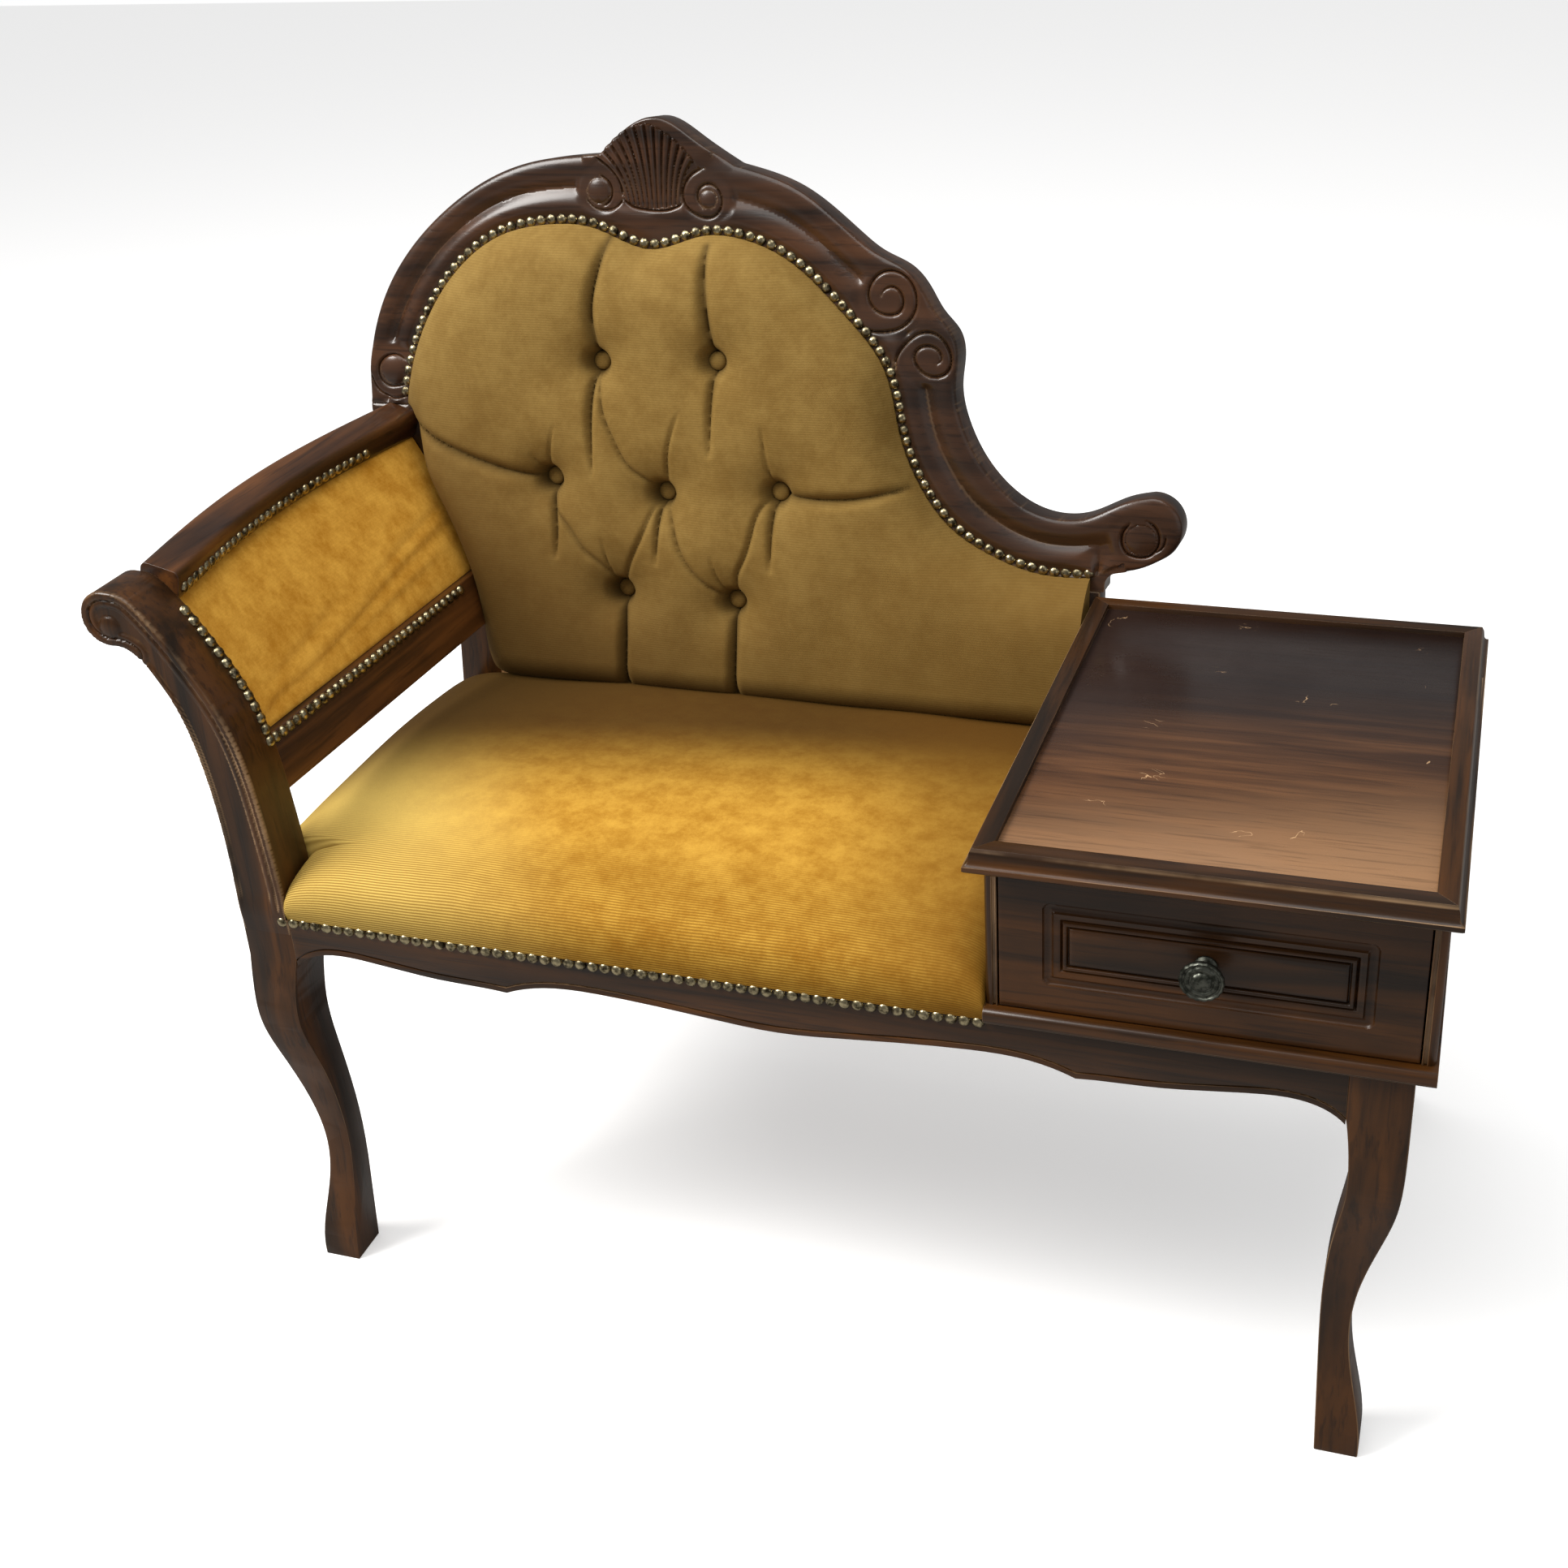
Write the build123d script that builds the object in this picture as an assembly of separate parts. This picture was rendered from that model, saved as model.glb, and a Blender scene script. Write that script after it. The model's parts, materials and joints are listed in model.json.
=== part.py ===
from build123d import *
import math
import os

# Telephone bench: an upholstered seat for one with an arm at its left end and a drawer table at its right.
# X runs to the sitter's left-hand end of the table (viewer's right), Y to the back, Z up. Millimetres.

# ---------------------------------------------------------------- driving dimensions
# Under-frame
SPAN = 874.0  # clear width between the front legs
RAIL_TOP = 373.0  # top of the seat rails
LEG_SECTION = 46.0  # square blank of the front legs
FRAME_FRONT = 27.0  # front face of legs and apron, behind the front lip of the table top
APRON_T = 22.0
SIDE_RAIL_T = 22.0
SIDE_RAIL_H = 40.0
REAR_RAIL_T = 24.0
MIDDLE_RAIL_T = 20.0
MIDDLE_RAIL_H = 30.0
CORNER_BLOCK = 38.0  # leg of the triangular glue blocks
CORNER_BLOCK_H = 26.0

# Back
BACK_FRONT = 446.0  # front face of the rear posts at seat height
BACK_T = 30.0  # thickness of posts and carved frame
RAKE = 8.0  # degrees that the back leans
RAKE_START = 3.0  # the back's outline is measured from this height above the rails
POST_W = 44.0  # width of the left rear post at the seat
INNER_POST_W = 40.0
BACK_RAIL_LOW = 22.0  # bottom of the hidden lower back rail, along the rake
BACK_RAIL_H = 42.0
BACK_RAIL_T = 22.0
FRAME_REBATE = 18.0  # wood that lies under the upholstery, inside the nail line
BACK_BOARD_T = 5.0
OUTSIDE_BACK_T = 3.0
RELIEF = 4.0  # height of the shell carving above the frame

# Cabinet and top
TABLE_LEFT = 160.0  # left lip of the top, from the bench's middle
TABLE_W = 344.0
TABLE_TOP = 535.0
TOP_T = 18.4
TOP_BAND = 20.0  # width of the mitred edging round the panel
TOP_STEP = 4.5  # panel lies this far below the edging
LIP_H = 5.0
EDGE_IN = 6.0  # arris of the edging, inside the lip
OVERHANG_SIDE = 8.6
BED_T = 9.0  # bed board under the top
BED_OUT = 5.0  # bed mould in front of the cabinet
CABINET_FOOT_T = 14.0  # moulded base board on the rails
FOOT_OUT_FRONT = 9.0
FOOT_OUT_SIDE = 2.0
SIDE_PANEL_T = 10.0
CORNER_BEAD = 6.0
BEAD_GROOVE = 2.5
CABINET_BACK_T = 8.0

# Drawer
DRAWER_GAP = 1.2
DRAWER_FRONT_T = 18.0
DRAWER_SIDE_T = 10.0
DRAWER_BOTTOM_T = 4.0
DRAWER_BACK_GAP = 24.0  # free space behind the closed drawer
DRAWER_SIDE_H = 84.0
RUNNER_T = 4.0
RUNNER_W = 12.0
PANEL_MARGIN = 33.0  # drawer front edge to the sunk outline
PANEL_FIELD = 14.0  # width of the ogee round the raised field
PANEL_DEPTH = 3.0
KNOB_R = 15.5
KNOB_OUT = 24.0
KNOB_SCREW_D = 4.0

# Arm
ARM_RAIL_W = 36.0
ARM_RAIL_H = 28.0
ARM_BOW = 24.0  # outward bow of the top rail
ARM_RAIL_Z = 655.0
ARM_RAIL_TILT = 14.0  # degrees that the rail's inner face looks down
ARM_RAIL_ROUND = 6.5
ARM_LOW_Z = 472.0
ARM_LOW_H = 46.0
ARM_LOW_T = 20.0
ARM_LOW_LEAN = 15.0  # the lower rail's foot stands this far inside its top
ARM_PAD_T = 16.0

# Upholstery
SEAT_BOARD_T = 10.0
SEAT_CROWN_Z = 440.0
SEAT_BULGE = 5.0
BACK_CUSHION_T = 50.0  # fullest at the bottom
BUTTON_R = 11.0
BUTTON_H = 6.0
NAIL_R = 4.4
NAIL_H = 2.8
NAIL_PITCH = 10.6
NAIL_LIFT = 0.15  # heads on a curved face clear it by this much
SOFT_GAP = 0.3
FIT = 0.3
PANEL_GAP = 0.6  # round the boards inside the arch
BUTTON_LIFT = 1.8  # the buttons' flat undersides clear the padding's strips by this much
BEYOND = 1500.0  # size of cutting blocks, past every side of the bench

# ---------------------------------------------------------------- places worked out from them
LEG_IN = SPAN / 2
LEG_OUT = LEG_IN + LEG_SECTION
LEG_BACK = FRAME_FRONT + LEG_SECTION
POST_OUT = -LEG_OUT
POST_IN = POST_OUT + POST_W
SIN_R = math.sin(math.radians(RAKE))
COS_R = math.cos(math.radians(RAKE))
TAN_R = SIN_R / COS_R
TABLE_RIGHT = TABLE_LEFT + TABLE_W
CABINET_LEFT = TABLE_LEFT + OVERHANG_SIDE
CABINET_RIGHT = TABLE_RIGHT - OVERHANG_SIDE
TOP_BOTTOM = TABLE_TOP - TOP_T
BED_BOTTOM = TOP_BOTTOM - BED_T
FOOT_TOP = RAIL_TOP + CABINET_FOOT_T
TABLE_BACK = BACK_FRONT + (TOP_BOTTOM - RAIL_TOP) * TAN_R - FIT
CABINET_BACK = BACK_FRONT - FIT
CABINET_FRONT = FRAME_FRONT
INNER_POST_RIGHT = CABINET_LEFT - FIT
INNER_POST_LEFT = INNER_POST_RIGHT - INNER_POST_W
BACK_DEPTH = BACK_T / COS_R
BOARD_TOP = RAIL_TOP + SEAT_BOARD_T
ARM_PAD_TOP = ARM_RAIL_Z - ARM_RAIL_H / 2
ARM_PAD_BOTTOM = ARM_LOW_Z + ARM_LOW_H

RAKED = Plane(
    origin=(0, BACK_FRONT + RAKE_START * TAN_R, RAIL_TOP + RAKE_START),
    x_dir=(1, 0, 0),
    z_dir=(0, -COS_R, SIN_R),
)
RAKED_FOOT = -RAKE_START / COS_R  # where that plane meets the rails' top


# ---------------------------------------------------------------- helpers
def box(x0, x1, y0, y1, z0, z1):
    """A block between six planes."""
    centre = Pos((x0 + x1) / 2, (y0 + y1) / 2, (z0 + z1) / 2)
    return centre * Box(x1 - x0, y1 - y0, z1 - z0)


def front_profile(edges, y0, y1):
    """A face drawn in X and Z, sawn through from y0 to y1."""
    drawn = Plane.XZ * make_face(edges)
    return Pos(0, y0, 0) * extrude(drawn, -(y1 - y0))


def side_profile(edges, x0, x1):
    """A face drawn in Y and Z, sawn through from x0 to x1."""
    drawn = Plane.YZ * make_face(edges)
    return Pos(x0, 0, 0) * extrude(drawn, x1 - x0)


def closed(*stretches):
    """Edges of an outline: point lists become splines, and each start joins the last end."""
    edges = []
    for points in stretches:
        edges.append(Line(*points) if len(points) == 2 else Spline(*points))
    return edges


def raked(sketch, back, front=0.0):
    """A face drawn on the raked front plane, from the depth behind it to the height before it."""
    start = Plane(RAKED.origin + RAKED.z_dir * front, x_dir=RAKED.x_dir, z_dir=RAKED.z_dir)
    return extrude(start * sketch, -(back + front))


def largest(shape):
    return max(shape.solids(), key=lambda s: s.volume)


def nail(place, outward):
    """A six-sided dome with its flat side on a surface."""
    seat = Plane(origin=place, z_dir=outward)
    return extrude(seat * RegularPolygon(NAIL_R, 6), NAIL_H, taper=38)


def along(path, pitch):
    """Evenly spaced parameters on a path."""
    count = round(path.length / pitch)
    return [i / count for i in range(count + 1)]


# ---------------------------------------------------------------- legs and rails
LEG_TOP_Z = 331.0
LEG_INNER_LINE = [(0, LEG_TOP_Z), (5, 290), (5, 268), (-1, 225), (-7, 160), (-7, 110), (-5, 55), (-3, 0)]
LEG_OUTER_LINE = [
    (0, LEG_TOP_Z), (0, 310), (-4, 250), (-15, 205), (-27, 155), (-30, 120), (-27, 85), (-18, 40), (-15, 0),
]
LEG_FRONT_LINE = [
    (0, LEG_TOP_Z), (-5, 300), (-7, 272), (1, 225), (10, 165), (12, 125), (6, 65), (-1, 22), (-2, 0),
]
LEG_BACK_LINE = [(0, LEG_TOP_Z), (-4, 290), (-10, 245), (-11, 200), (-9, 150), (-8, 110), (-9, 60), (-11, 0)]


def leg_line(points, sign, edge):
    """A leg's drawn line on the right or left side, from the top down."""
    return [(sign * (edge + dx), z) for dx, z in points]


def sawn_leg(seen, top):
    """A front leg sawn on two faces: the drawn front outline, and the S-curve from the side."""
    front = [(FRAME_FRONT + dy, z) for dy, z in LEG_FRONT_LINE]
    back = [(LEG_BACK + dy, z) for dy, z in reversed(LEG_BACK_LINE)]
    beside = closed(front, (front[-1], back[0]), back)
    beside.append(Polyline(back[-1], (LEG_BACK, top), (FRAME_FRONT, top), front[0]))
    sawn_front = front_profile(seen, FRAME_FRONT - LEG_SECTION, LEG_BACK + LEG_SECTION)
    sawn_side = side_profile(beside, -LEG_OUT - 3 * LEG_SECTION, LEG_OUT + LEG_SECTION)
    return largest(sawn_front & sawn_side)


def front_leg_right():
    inner = leg_line(LEG_INNER_LINE, 1, LEG_IN)
    outer = leg_line(reversed(LEG_OUTER_LINE), 1, LEG_OUT)
    seen = closed(inner, (inner[-1], outer[0]), outer)
    seen.append(Polyline(outer[-1], (LEG_OUT, RAIL_TOP), (LEG_IN, RAIL_TOP), inner[0]))
    return sawn_leg(seen, RAIL_TOP)


SCROLL_R = 23.5
SCROLL_C = (-113.0, 641.0)  # centre of the front scroll, from the leg's inner face
SUPPORT_INNER = [(-5, 466), (-22, 556), (-45, 600), (-85, 653)]
SUPPORT_OUTER = [(-85, 602), (-69, 575), (-52, 511), (-46, 441)]


def support_inner_edge():
    """Seat-side edge of the arm support in X and Z, from the rail up to the scroll."""
    x0 = -LEG_IN
    top = (x0 + SCROLL_C[0] + 3, SCROLL_C[1] + SCROLL_R - 0.2)
    points = [(x0, RAIL_TOP)] + [(x0 + dx, z) for dx, z in SUPPORT_INNER] + [top]
    return Spline(*points, tangents=[(0, 1), (-1, 0)])


def front_leg_left():
    """Leg and arm support in one plank: it sweeps up from the rail and rolls over in a scroll."""
    inner = leg_line(LEG_INNER_LINE, -1, LEG_IN)
    outer = leg_line(reversed(LEG_OUTER_LINE), -1, LEG_OUT)
    sweep = support_inner_edge()
    top = sweep @ 1
    far = (-LEG_IN + SCROLL_C[0] - SCROLL_R, SCROLL_C[1])
    low = (-LEG_IN + SCROLL_C[0] + 3, SCROLL_C[1] - SCROLL_R + 0.2)
    under = [(-LEG_OUT, RAIL_TOP)] + [(-LEG_IN + dx, z) for dx, z in reversed(SUPPORT_OUTER)] + [low]
    seen = closed(inner, (inner[-1], outer[0]), outer)
    seen.append(Line(outer[-1], under[0]))
    seen.append(Spline(*under, tangents=[(0, 1), (-1, 0)]))
    seen.append(ThreePointArc(low, far, top))
    seen.append(sweep)
    seen.append(Line(sweep @ 0, inner[0]))
    return sawn_leg(seen, SCROLL_C[1] + 2 * SCROLL_R)


REAR_STRAIGHT_Z = 325.0  # below this height the rear legs sweep back
REAR_FRONT_LINE = [(0, REAR_STRAIGHT_Z), (6, 200), (20, 95), (40, 0)]
REAR_BACK_LINE = [(0, REAR_STRAIGHT_Z), (7, 200), (20, 95), (38, 0)]
REAR_TAPER = 6.0


def rear_leg(x_out, x_in):
    """A sabre leg that sweeps backwards and tapers a little to the floor."""
    lean = REAR_TAPER if x_in > x_out else -REAR_TAPER
    front = [(BACK_FRONT + dy, z) for dy, z in REAR_FRONT_LINE]
    back = [(BACK_FRONT + BACK_DEPTH + dy, z) for dy, z in reversed(REAR_BACK_LINE)]
    beside = [
        Line((BACK_FRONT, RAIL_TOP), front[0]),
        Spline(*front, tangents=[(0, -1), (0.25, -1)]),
        Line(front[-1], back[0]),
        Spline(*back, tangents=[(-0.25, 1), (0, 1)]),
        Line(back[-1], (BACK_FRONT + BACK_DEPTH, RAIL_TOP)),
        Line((BACK_FRONT + BACK_DEPTH, RAIL_TOP), (BACK_FRONT, RAIL_TOP)),
    ]
    seen = Polyline((x_out, RAIL_TOP), (x_out + lean, 0), (x_in - lean, 0), (x_in, RAIL_TOP), close=True)
    sawn_side = side_profile(beside, min(x_out, x_in), max(x_out, x_in))
    return sawn_side & front_profile(seen, BACK_FRONT - LEG_SECTION, BACK_FRONT + 3 * LEG_SECTION)


def rear_leg_right():
    return rear_leg(LEG_OUT, LEG_OUT - POST_W)


APRON_EDGE = [(0, 42), (60, 38), (150, 31), (205, 33), (228, 39), (238, 43)]
APRON_SHOULDER = [(238, 43), (250, 42), (300, 40), (372, 32), (405, 32), (424, 38)]
APRON_END_DROP = 48.0
APRON_HALF = 437.0  # half the span that these points are drawn for; they spread with the real one
BEAD_UP = 5.0
BEAD_W = 1.6


def apron_curve(lift):
    """The serpentine lower edge, both halves from the middle outwards, raised by lift."""
    half = LEG_IN
    centre = [(x * half / APRON_HALF, RAIL_TOP - drop + lift) for x, drop in APRON_EDGE]
    shoulder = [(x * half / APRON_HALF, RAIL_TOP - drop + lift) for x, drop in APRON_SHOULDER]
    shoulder.append((half, RAIL_TOP - APRON_END_DROP + lift))
    centre_line = [(-x, z) for x, z in reversed(centre[1:])] + centre
    left_line = [(-x, z) for x, z in reversed(shoulder)]
    return left_line, centre_line, shoulder


def front_rail():
    """The apron, with a scratched bead along its shaped edge."""
    left, centre, right = apron_curve(0)
    top = [right[-1], (LEG_IN, RAIL_TOP), (-LEG_IN, RAIL_TOP), left[0]]
    edges = closed(left, centre, right) + [Polyline(*top)]
    board = front_profile(edges, FRAME_FRONT, FRAME_FRONT + APRON_T)
    lower = apron_curve(BEAD_UP)
    upper = apron_curve(BEAD_UP + BEAD_W)
    ends = [(lower[2][-1], upper[2][-1]), (upper[0][0], lower[0][0])]
    groove_edges = closed(*lower) + closed(*upper) + closed(*ends)
    return board - front_profile(groove_edges, FRAME_FRONT, FRAME_FRONT + BEAD_W)


def side_rail(x_out, x_in):
    return box(min(x_out, x_in), max(x_out, x_in), LEG_BACK, BACK_FRONT, RAIL_TOP - SIDE_RAIL_H, RAIL_TOP)


def side_rail_left():
    return side_rail(-LEG_OUT + 2, -LEG_OUT + 2 + SIDE_RAIL_T)


def side_rail_right():
    return side_rail(LEG_OUT - 2, LEG_OUT - 2 - SIDE_RAIL_T)


def rear_rail():
    low = RAIL_TOP - SIDE_RAIL_H
    return box(POST_IN, LEG_OUT - POST_W, BACK_FRONT, BACK_FRONT + REAR_RAIL_T, low, RAIL_TOP)


def middle_rail():
    x0 = CABINET_LEFT - MIDDLE_RAIL_T / 2
    low = RAIL_TOP - MIDDLE_RAIL_H
    return box(x0, x0 + MIDDLE_RAIL_T, FRAME_FRONT + APRON_T, BACK_FRONT, low, RAIL_TOP)


def corner_blocks():
    """Four triangular glue blocks inside the corners of the seat frame."""
    rail_left = -LEG_OUT + 2 + SIDE_RAIL_T
    rail_right = LEG_OUT - 2 - SIDE_RAIL_T
    apron_back = FRAME_FRONT + APRON_T
    middle_left = CABINET_LEFT - MIDDLE_RAIL_T / 2
    low = RAIL_TOP - CORNER_BLOCK_H
    corners = [
        (rail_left, BACK_FRONT, 1, -1),
        (rail_right, BACK_FRONT, -1, -1),
        (middle_left, apron_back, -1, 1),
        (middle_left, BACK_FRONT, -1, -1),
    ]
    blocks = []
    for x, y, sx, sy in corners:
        tri = Polyline((x, y), (x + sx * CORNER_BLOCK, y), (x, y + sy * CORNER_BLOCK), close=True)
        blocks.append(Pos(0, 0, low) * extrude(make_face(tri), CORNER_BLOCK_H - FIT))
    return blocks


# ---------------------------------------------------------------- carved back
# Points on the raked plane: X, and the distance up the slope from the rail.
POST_TOP_W = 286.0  # joint between the rear post and the carved stile
POST_OUT_LINE = [(0, 70), (-14, 160), (-50, 230), (-88, POST_TOP_W - 20)]
POST_EAR = [(-88, POST_TOP_W - 20), (-92, POST_TOP_W - 9), (-82, POST_TOP_W)]  # rounded top outer corner
POST_IN_LINE = [(0, 68), (-14, 165), (-50, 235), (-70, POST_TOP_W)]
STILE_OUT = [(-563, POST_TOP_W), (-561, POST_TOP_W + 47), (-536, 408), (-472, 480), (-384, 526), (-305, 536)]
NAIL_ARCH = [
    (-518, POST_TOP_W), (-514, POST_TOP_W + 26), (-483, 389), (-446, 433), (-405, 459), (-357, 469),
    (-316, 467), (-284, 455), (-260, 449), (-235, 453), (-205, 462), (-174, 461), (-127, 443), (-77, 399),
    (-39, 352), (-23, 291), (-6, 250), (29, 206), (65, 185), (108, 171), (159, 170),
]
SHELL_SEAT = 40.0  # crest between the nails' dip and the shell's foot
SHELL_TALL = 72.0
SHELL_RIM = 8.0  # crest's rim over the shell
SHELL_FOOT_W = min(w for x, w in NAIL_ARCH if -316 < x < -205) + SHELL_SEAT
SHELL_HEAD_W = SHELL_FOOT_W + SHELL_TALL
SHELL_TOP = [
    (-305, 536), (-281, SHELL_HEAD_W - 4), (-250, SHELL_HEAD_W + SHELL_RIM), (-215, SHELL_HEAD_W - 9),
    (-176, 528),
]
CREST_OUT = [(-176, 528), (-120, 510), (-62, 468), (-42, 454), (-17, 442), (0, 424), (14, 402)]
RAMP_OUT = [
    (14, 402), (28, 386), (33, 366), (31, 340), (38, 305), (69, 255), (115, 227), (152, 228), (189, 245),
]
RAMP_TOP = (210, 250)
RAMP_TIP = (239, 221)
RAMP_UNDER = [(224, 196), (200, 184), (183, 180)]
STUB_X = 172.0  # right edge of the ramp's foot on the inner post
STUB_LOW = (TABLE_TOP - RAIL_TOP - RAKE_START) / COS_R + 1.0
SEAM_TOP_X = -268.0
SEAM_SEGMENT = ((-541, 372), (-441, 457))  # chord of the glued-on outer segment
SEAM_RAMP = ((40, 412), (-90, 372))


def inset_line(path, distance, count):
    """Points beside a path, on its right-hand side going along it."""
    points = []
    for i in range(count + 1):
        at = path @ (i / count)
        direction = path % (i / count)
        points.append((at.X + direction.Y * distance, at.Y - direction.X * distance))
    return points


def rebate_line(extra=0.0):
    """Inner edge of the arch, under the upholstery, up to the inner post."""
    points = inset_line(Spline(*NAIL_ARCH), FRAME_REBATE + extra, 44)
    return [p for p in points if p[0] < INNER_POST_LEFT]


def arch_face():
    """The carved arch as one face: stile, crest and ramp down to the inner post."""
    rebate = rebate_line()
    foot = (rebate[0][0], POST_TOP_W)
    stub = [(STUB_X, 168), (STUB_X, STUB_LOW), (INNER_POST_LEFT, STUB_LOW), (INNER_POST_LEFT, rebate[-1][1])]
    edges = [
        Spline(*STILE_OUT),
        Spline(*SHELL_TOP),
        Spline(*(CREST_OUT[:-1] + RAMP_OUT + [RAMP_TOP])),
        ThreePointArc(RAMP_TOP, RAMP_TIP, RAMP_UNDER[0]),
        Spline(*RAMP_UNDER),
        ThreePointArc(RAMP_UNDER[-1], (STUB_X + 3, 176), stub[0]),
        Polyline(*stub),
        Line(stub[-1], rebate[-1]),
        Spline(*reversed(rebate)),
        Line(rebate[0], foot),
        Line(foot, STILE_OUT[0]),
    ]
    return make_face(edges)


def half_plane(line, side):
    """A large block on one side of a seam drawn on the raked plane."""
    (x0, w0), (x1, w1) = line
    length = math.hypot(x1 - x0, w1 - w0)
    ux, uw = (x1 - x0) / length, (w1 - w0) / length
    nx, nw = -uw * side, ux * side
    corners = [
        (x0 - ux * BEYOND, w0 - uw * BEYOND),
        (x0 + ux * BEYOND, w0 + uw * BEYOND),
        (x0 + ux * BEYOND + nx * BEYOND, w0 + uw * BEYOND + nw * BEYOND),
        (x0 - ux * BEYOND + nx * BEYOND, w0 - uw * BEYOND + nw * BEYOND),
    ]
    return raked(make_face(Polyline(*corners, close=True)), BEYOND, BEYOND)


def frame_pieces():
    """Cuts the carved arch at its glue joints, with a pocket for the shell."""
    slab = raked(arch_face(), BACK_T) - raked(shell_ground(), SHELL_SINK, 10)
    right_of_top = half_plane(((SEAM_TOP_X, 0), (SEAM_TOP_X, SHELL_HEAD_W)), -1)
    outside_chord = half_plane(SEAM_SEGMENT, 1)
    ramp_side = half_plane(SEAM_RAMP, 1)
    left = slab - right_of_top
    right = slab & right_of_top
    return {
        "crest_left": largest(left - outside_chord),
        "crest_segment": largest(left & outside_chord),
        "crest_right": largest(right - ramp_side),
        "back_ramp": largest(right & ramp_side),
    }


SHELL_SINK = 8.0
SHELL_RIBS = 12
SHELL_MID = -254.0
SHELL_FOOT_HALF = 27.0
SHELL_HEAD_HALF = 38.0


def shell_ground():
    """Outline of the glued-in carving block, just inside the crest's own rim."""
    mid, half = SHELL_MID, SHELL_HEAD_HALF
    head = SHELL_HEAD_W
    foot_left = (mid - SHELL_FOOT_HALF, SHELL_FOOT_W + 5)
    foot_right = (mid + SHELL_FOOT_HALF, SHELL_FOOT_W + 5)
    left, right = mid - half, mid + half
    crown = [(left, head - 22), (mid - 20, head - 3), (mid, head), (mid + 20, head - 9), (right, head - 30)]
    edges = [
        Spline(foot_left, (mid - half + 6, head - 44), crown[0]),
        Spline(*crown),
        Spline(crown[-1], (mid + half - 6, head - 46), foot_right),
        ThreePointArc(foot_right, (mid, SHELL_FOOT_W - 1), foot_left),
    ]
    return make_face(edges)


def shell_carving():
    """A scallop: twelve ribs that swell from the foot to the rim, on a sunk ground."""
    ground = raked(shell_ground(), SHELL_SINK)
    ribs = []
    for i in range(SHELL_RIBS):
        u = (i - (SHELL_RIBS - 1) / 2) / (SHELL_RIBS / 2)
        foot = (SHELL_MID + u * SHELL_FOOT_HALF, SHELL_FOOT_W + 5 * u * u - 2)
        head = (SHELL_MID + u * (SHELL_HEAD_HALF + 6), SHELL_HEAD_W + 4 - 26 * u * u)
        foot_r = SHELL_FOOT_HALF / SHELL_RIBS
        head_r = (SHELL_HEAD_HALF + 6) / SHELL_RIBS * 1.04
        start = RAKED.from_local_coords(Vector(*foot, 0.4))
        end = RAKED.from_local_coords(Vector(*head, RELIEF - head_r))
        seat = Plane(origin=start, z_dir=end - start)
        length = (end - start).length
        ribs.append(seat * Pos(0, 0, length / 2) * Cone(foot_r, head_r, length))
    fan = Part() + ribs
    trim = raked(shell_ground(), SHELL_SINK, RELIEF + 2)
    return largest(ground + (fan & trim))


def post_inner_edge():
    """Inner edge of the left rear post, upright by the lower rail and flared above it."""
    points = [(POST_IN + dx, w) for dx, w in POST_IN_LINE]
    return Spline(*points, tangents=[(0, 1), (-0.3, 1)])


def rear_post_left():
    """Left rear leg and post, one plank from the floor to the stile, flared above the seat."""
    out_line = [(POST_OUT + dx, w) for dx, w in POST_OUT_LINE]
    ear = [(POST_OUT + dx, w) for dx, w in POST_EAR]
    inner = post_inner_edge()
    edges = [
        Line((POST_OUT, RAKED_FOOT), out_line[0]),
        Spline(*out_line, tangents=[(0, 1), (-1, 1)]),
        ThreePointArc(*ear),
        Line(ear[-1], inner @ 1),
        inner,
        Line(inner @ 0, (POST_IN, RAKED_FOOT)),
        Line((POST_IN, RAKED_FOOT), (POST_OUT, RAKED_FOOT)),
    ]
    return largest(rear_leg(POST_OUT, POST_IN) + raked(make_face(edges), BACK_T))


def inner_post():
    """Upright between the seat and the table, from the rear rail to the foot of the ramp."""
    outline = Polyline(
        (INNER_POST_LEFT, -20),
        (INNER_POST_RIGHT, -20),
        (INNER_POST_RIGHT, STUB_LOW),
        (INNER_POST_LEFT, STUB_LOW),
        close=True,
    )
    post = raked(make_face(outline), BACK_T)
    below = box(-LEG_OUT, LEG_OUT, 0, BEYOND, 0, RAIL_TOP)
    return post - below


def back_lower_rail():
    outline = Polyline(
        (POST_IN, BACK_RAIL_LOW),
        (INNER_POST_LEFT, BACK_RAIL_LOW),
        (INNER_POST_LEFT, BACK_RAIL_LOW + BACK_RAIL_H),
        (POST_IN, BACK_RAIL_LOW + BACK_RAIL_H),
        close=True,
    )
    plank = raked(make_face(outline), BACK_RAIL_T)
    return plank


def post_inner_points(extra, low):
    """Points along the post's flared inner edge, moved towards the seat by extra."""
    points = inset_line(post_inner_edge(), extra * 1.3, 12)
    kept = [p for p in points if low < p[1] < POST_TOP_W - extra - 1]
    return kept + [(points[-1][0], POST_TOP_W - extra)]


def opening_face():
    """The clear opening of the back, inside posts, arch and lower rail."""
    low = BACK_RAIL_LOW + BACK_RAIL_H + FIT
    right = INNER_POST_LEFT - FIT
    rebate = [p for p in rebate_line(PANEL_GAP) if p[0] < right]
    flare = post_inner_points(FIT, low)
    edges = [
        Line((POST_IN + FIT, low), (right, low)),
        Line((right, low), (right, rebate[-1][1])),
        Line((right, rebate[-1][1]), rebate[-1]),
        Spline(*reversed(rebate)),
        Line(rebate[0], (rebate[0][0], POST_TOP_W - FIT)),
        Line((rebate[0][0], POST_TOP_W - FIT), flare[-1]),
        Spline(*reversed(flare)),
        Line(flare[0], (POST_IN + FIT, low)),
    ]
    return make_face(edges)


def back_board():
    """Board behind the padding, flush with the frame."""
    return raked(opening_face(), BACK_BOARD_T)


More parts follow.
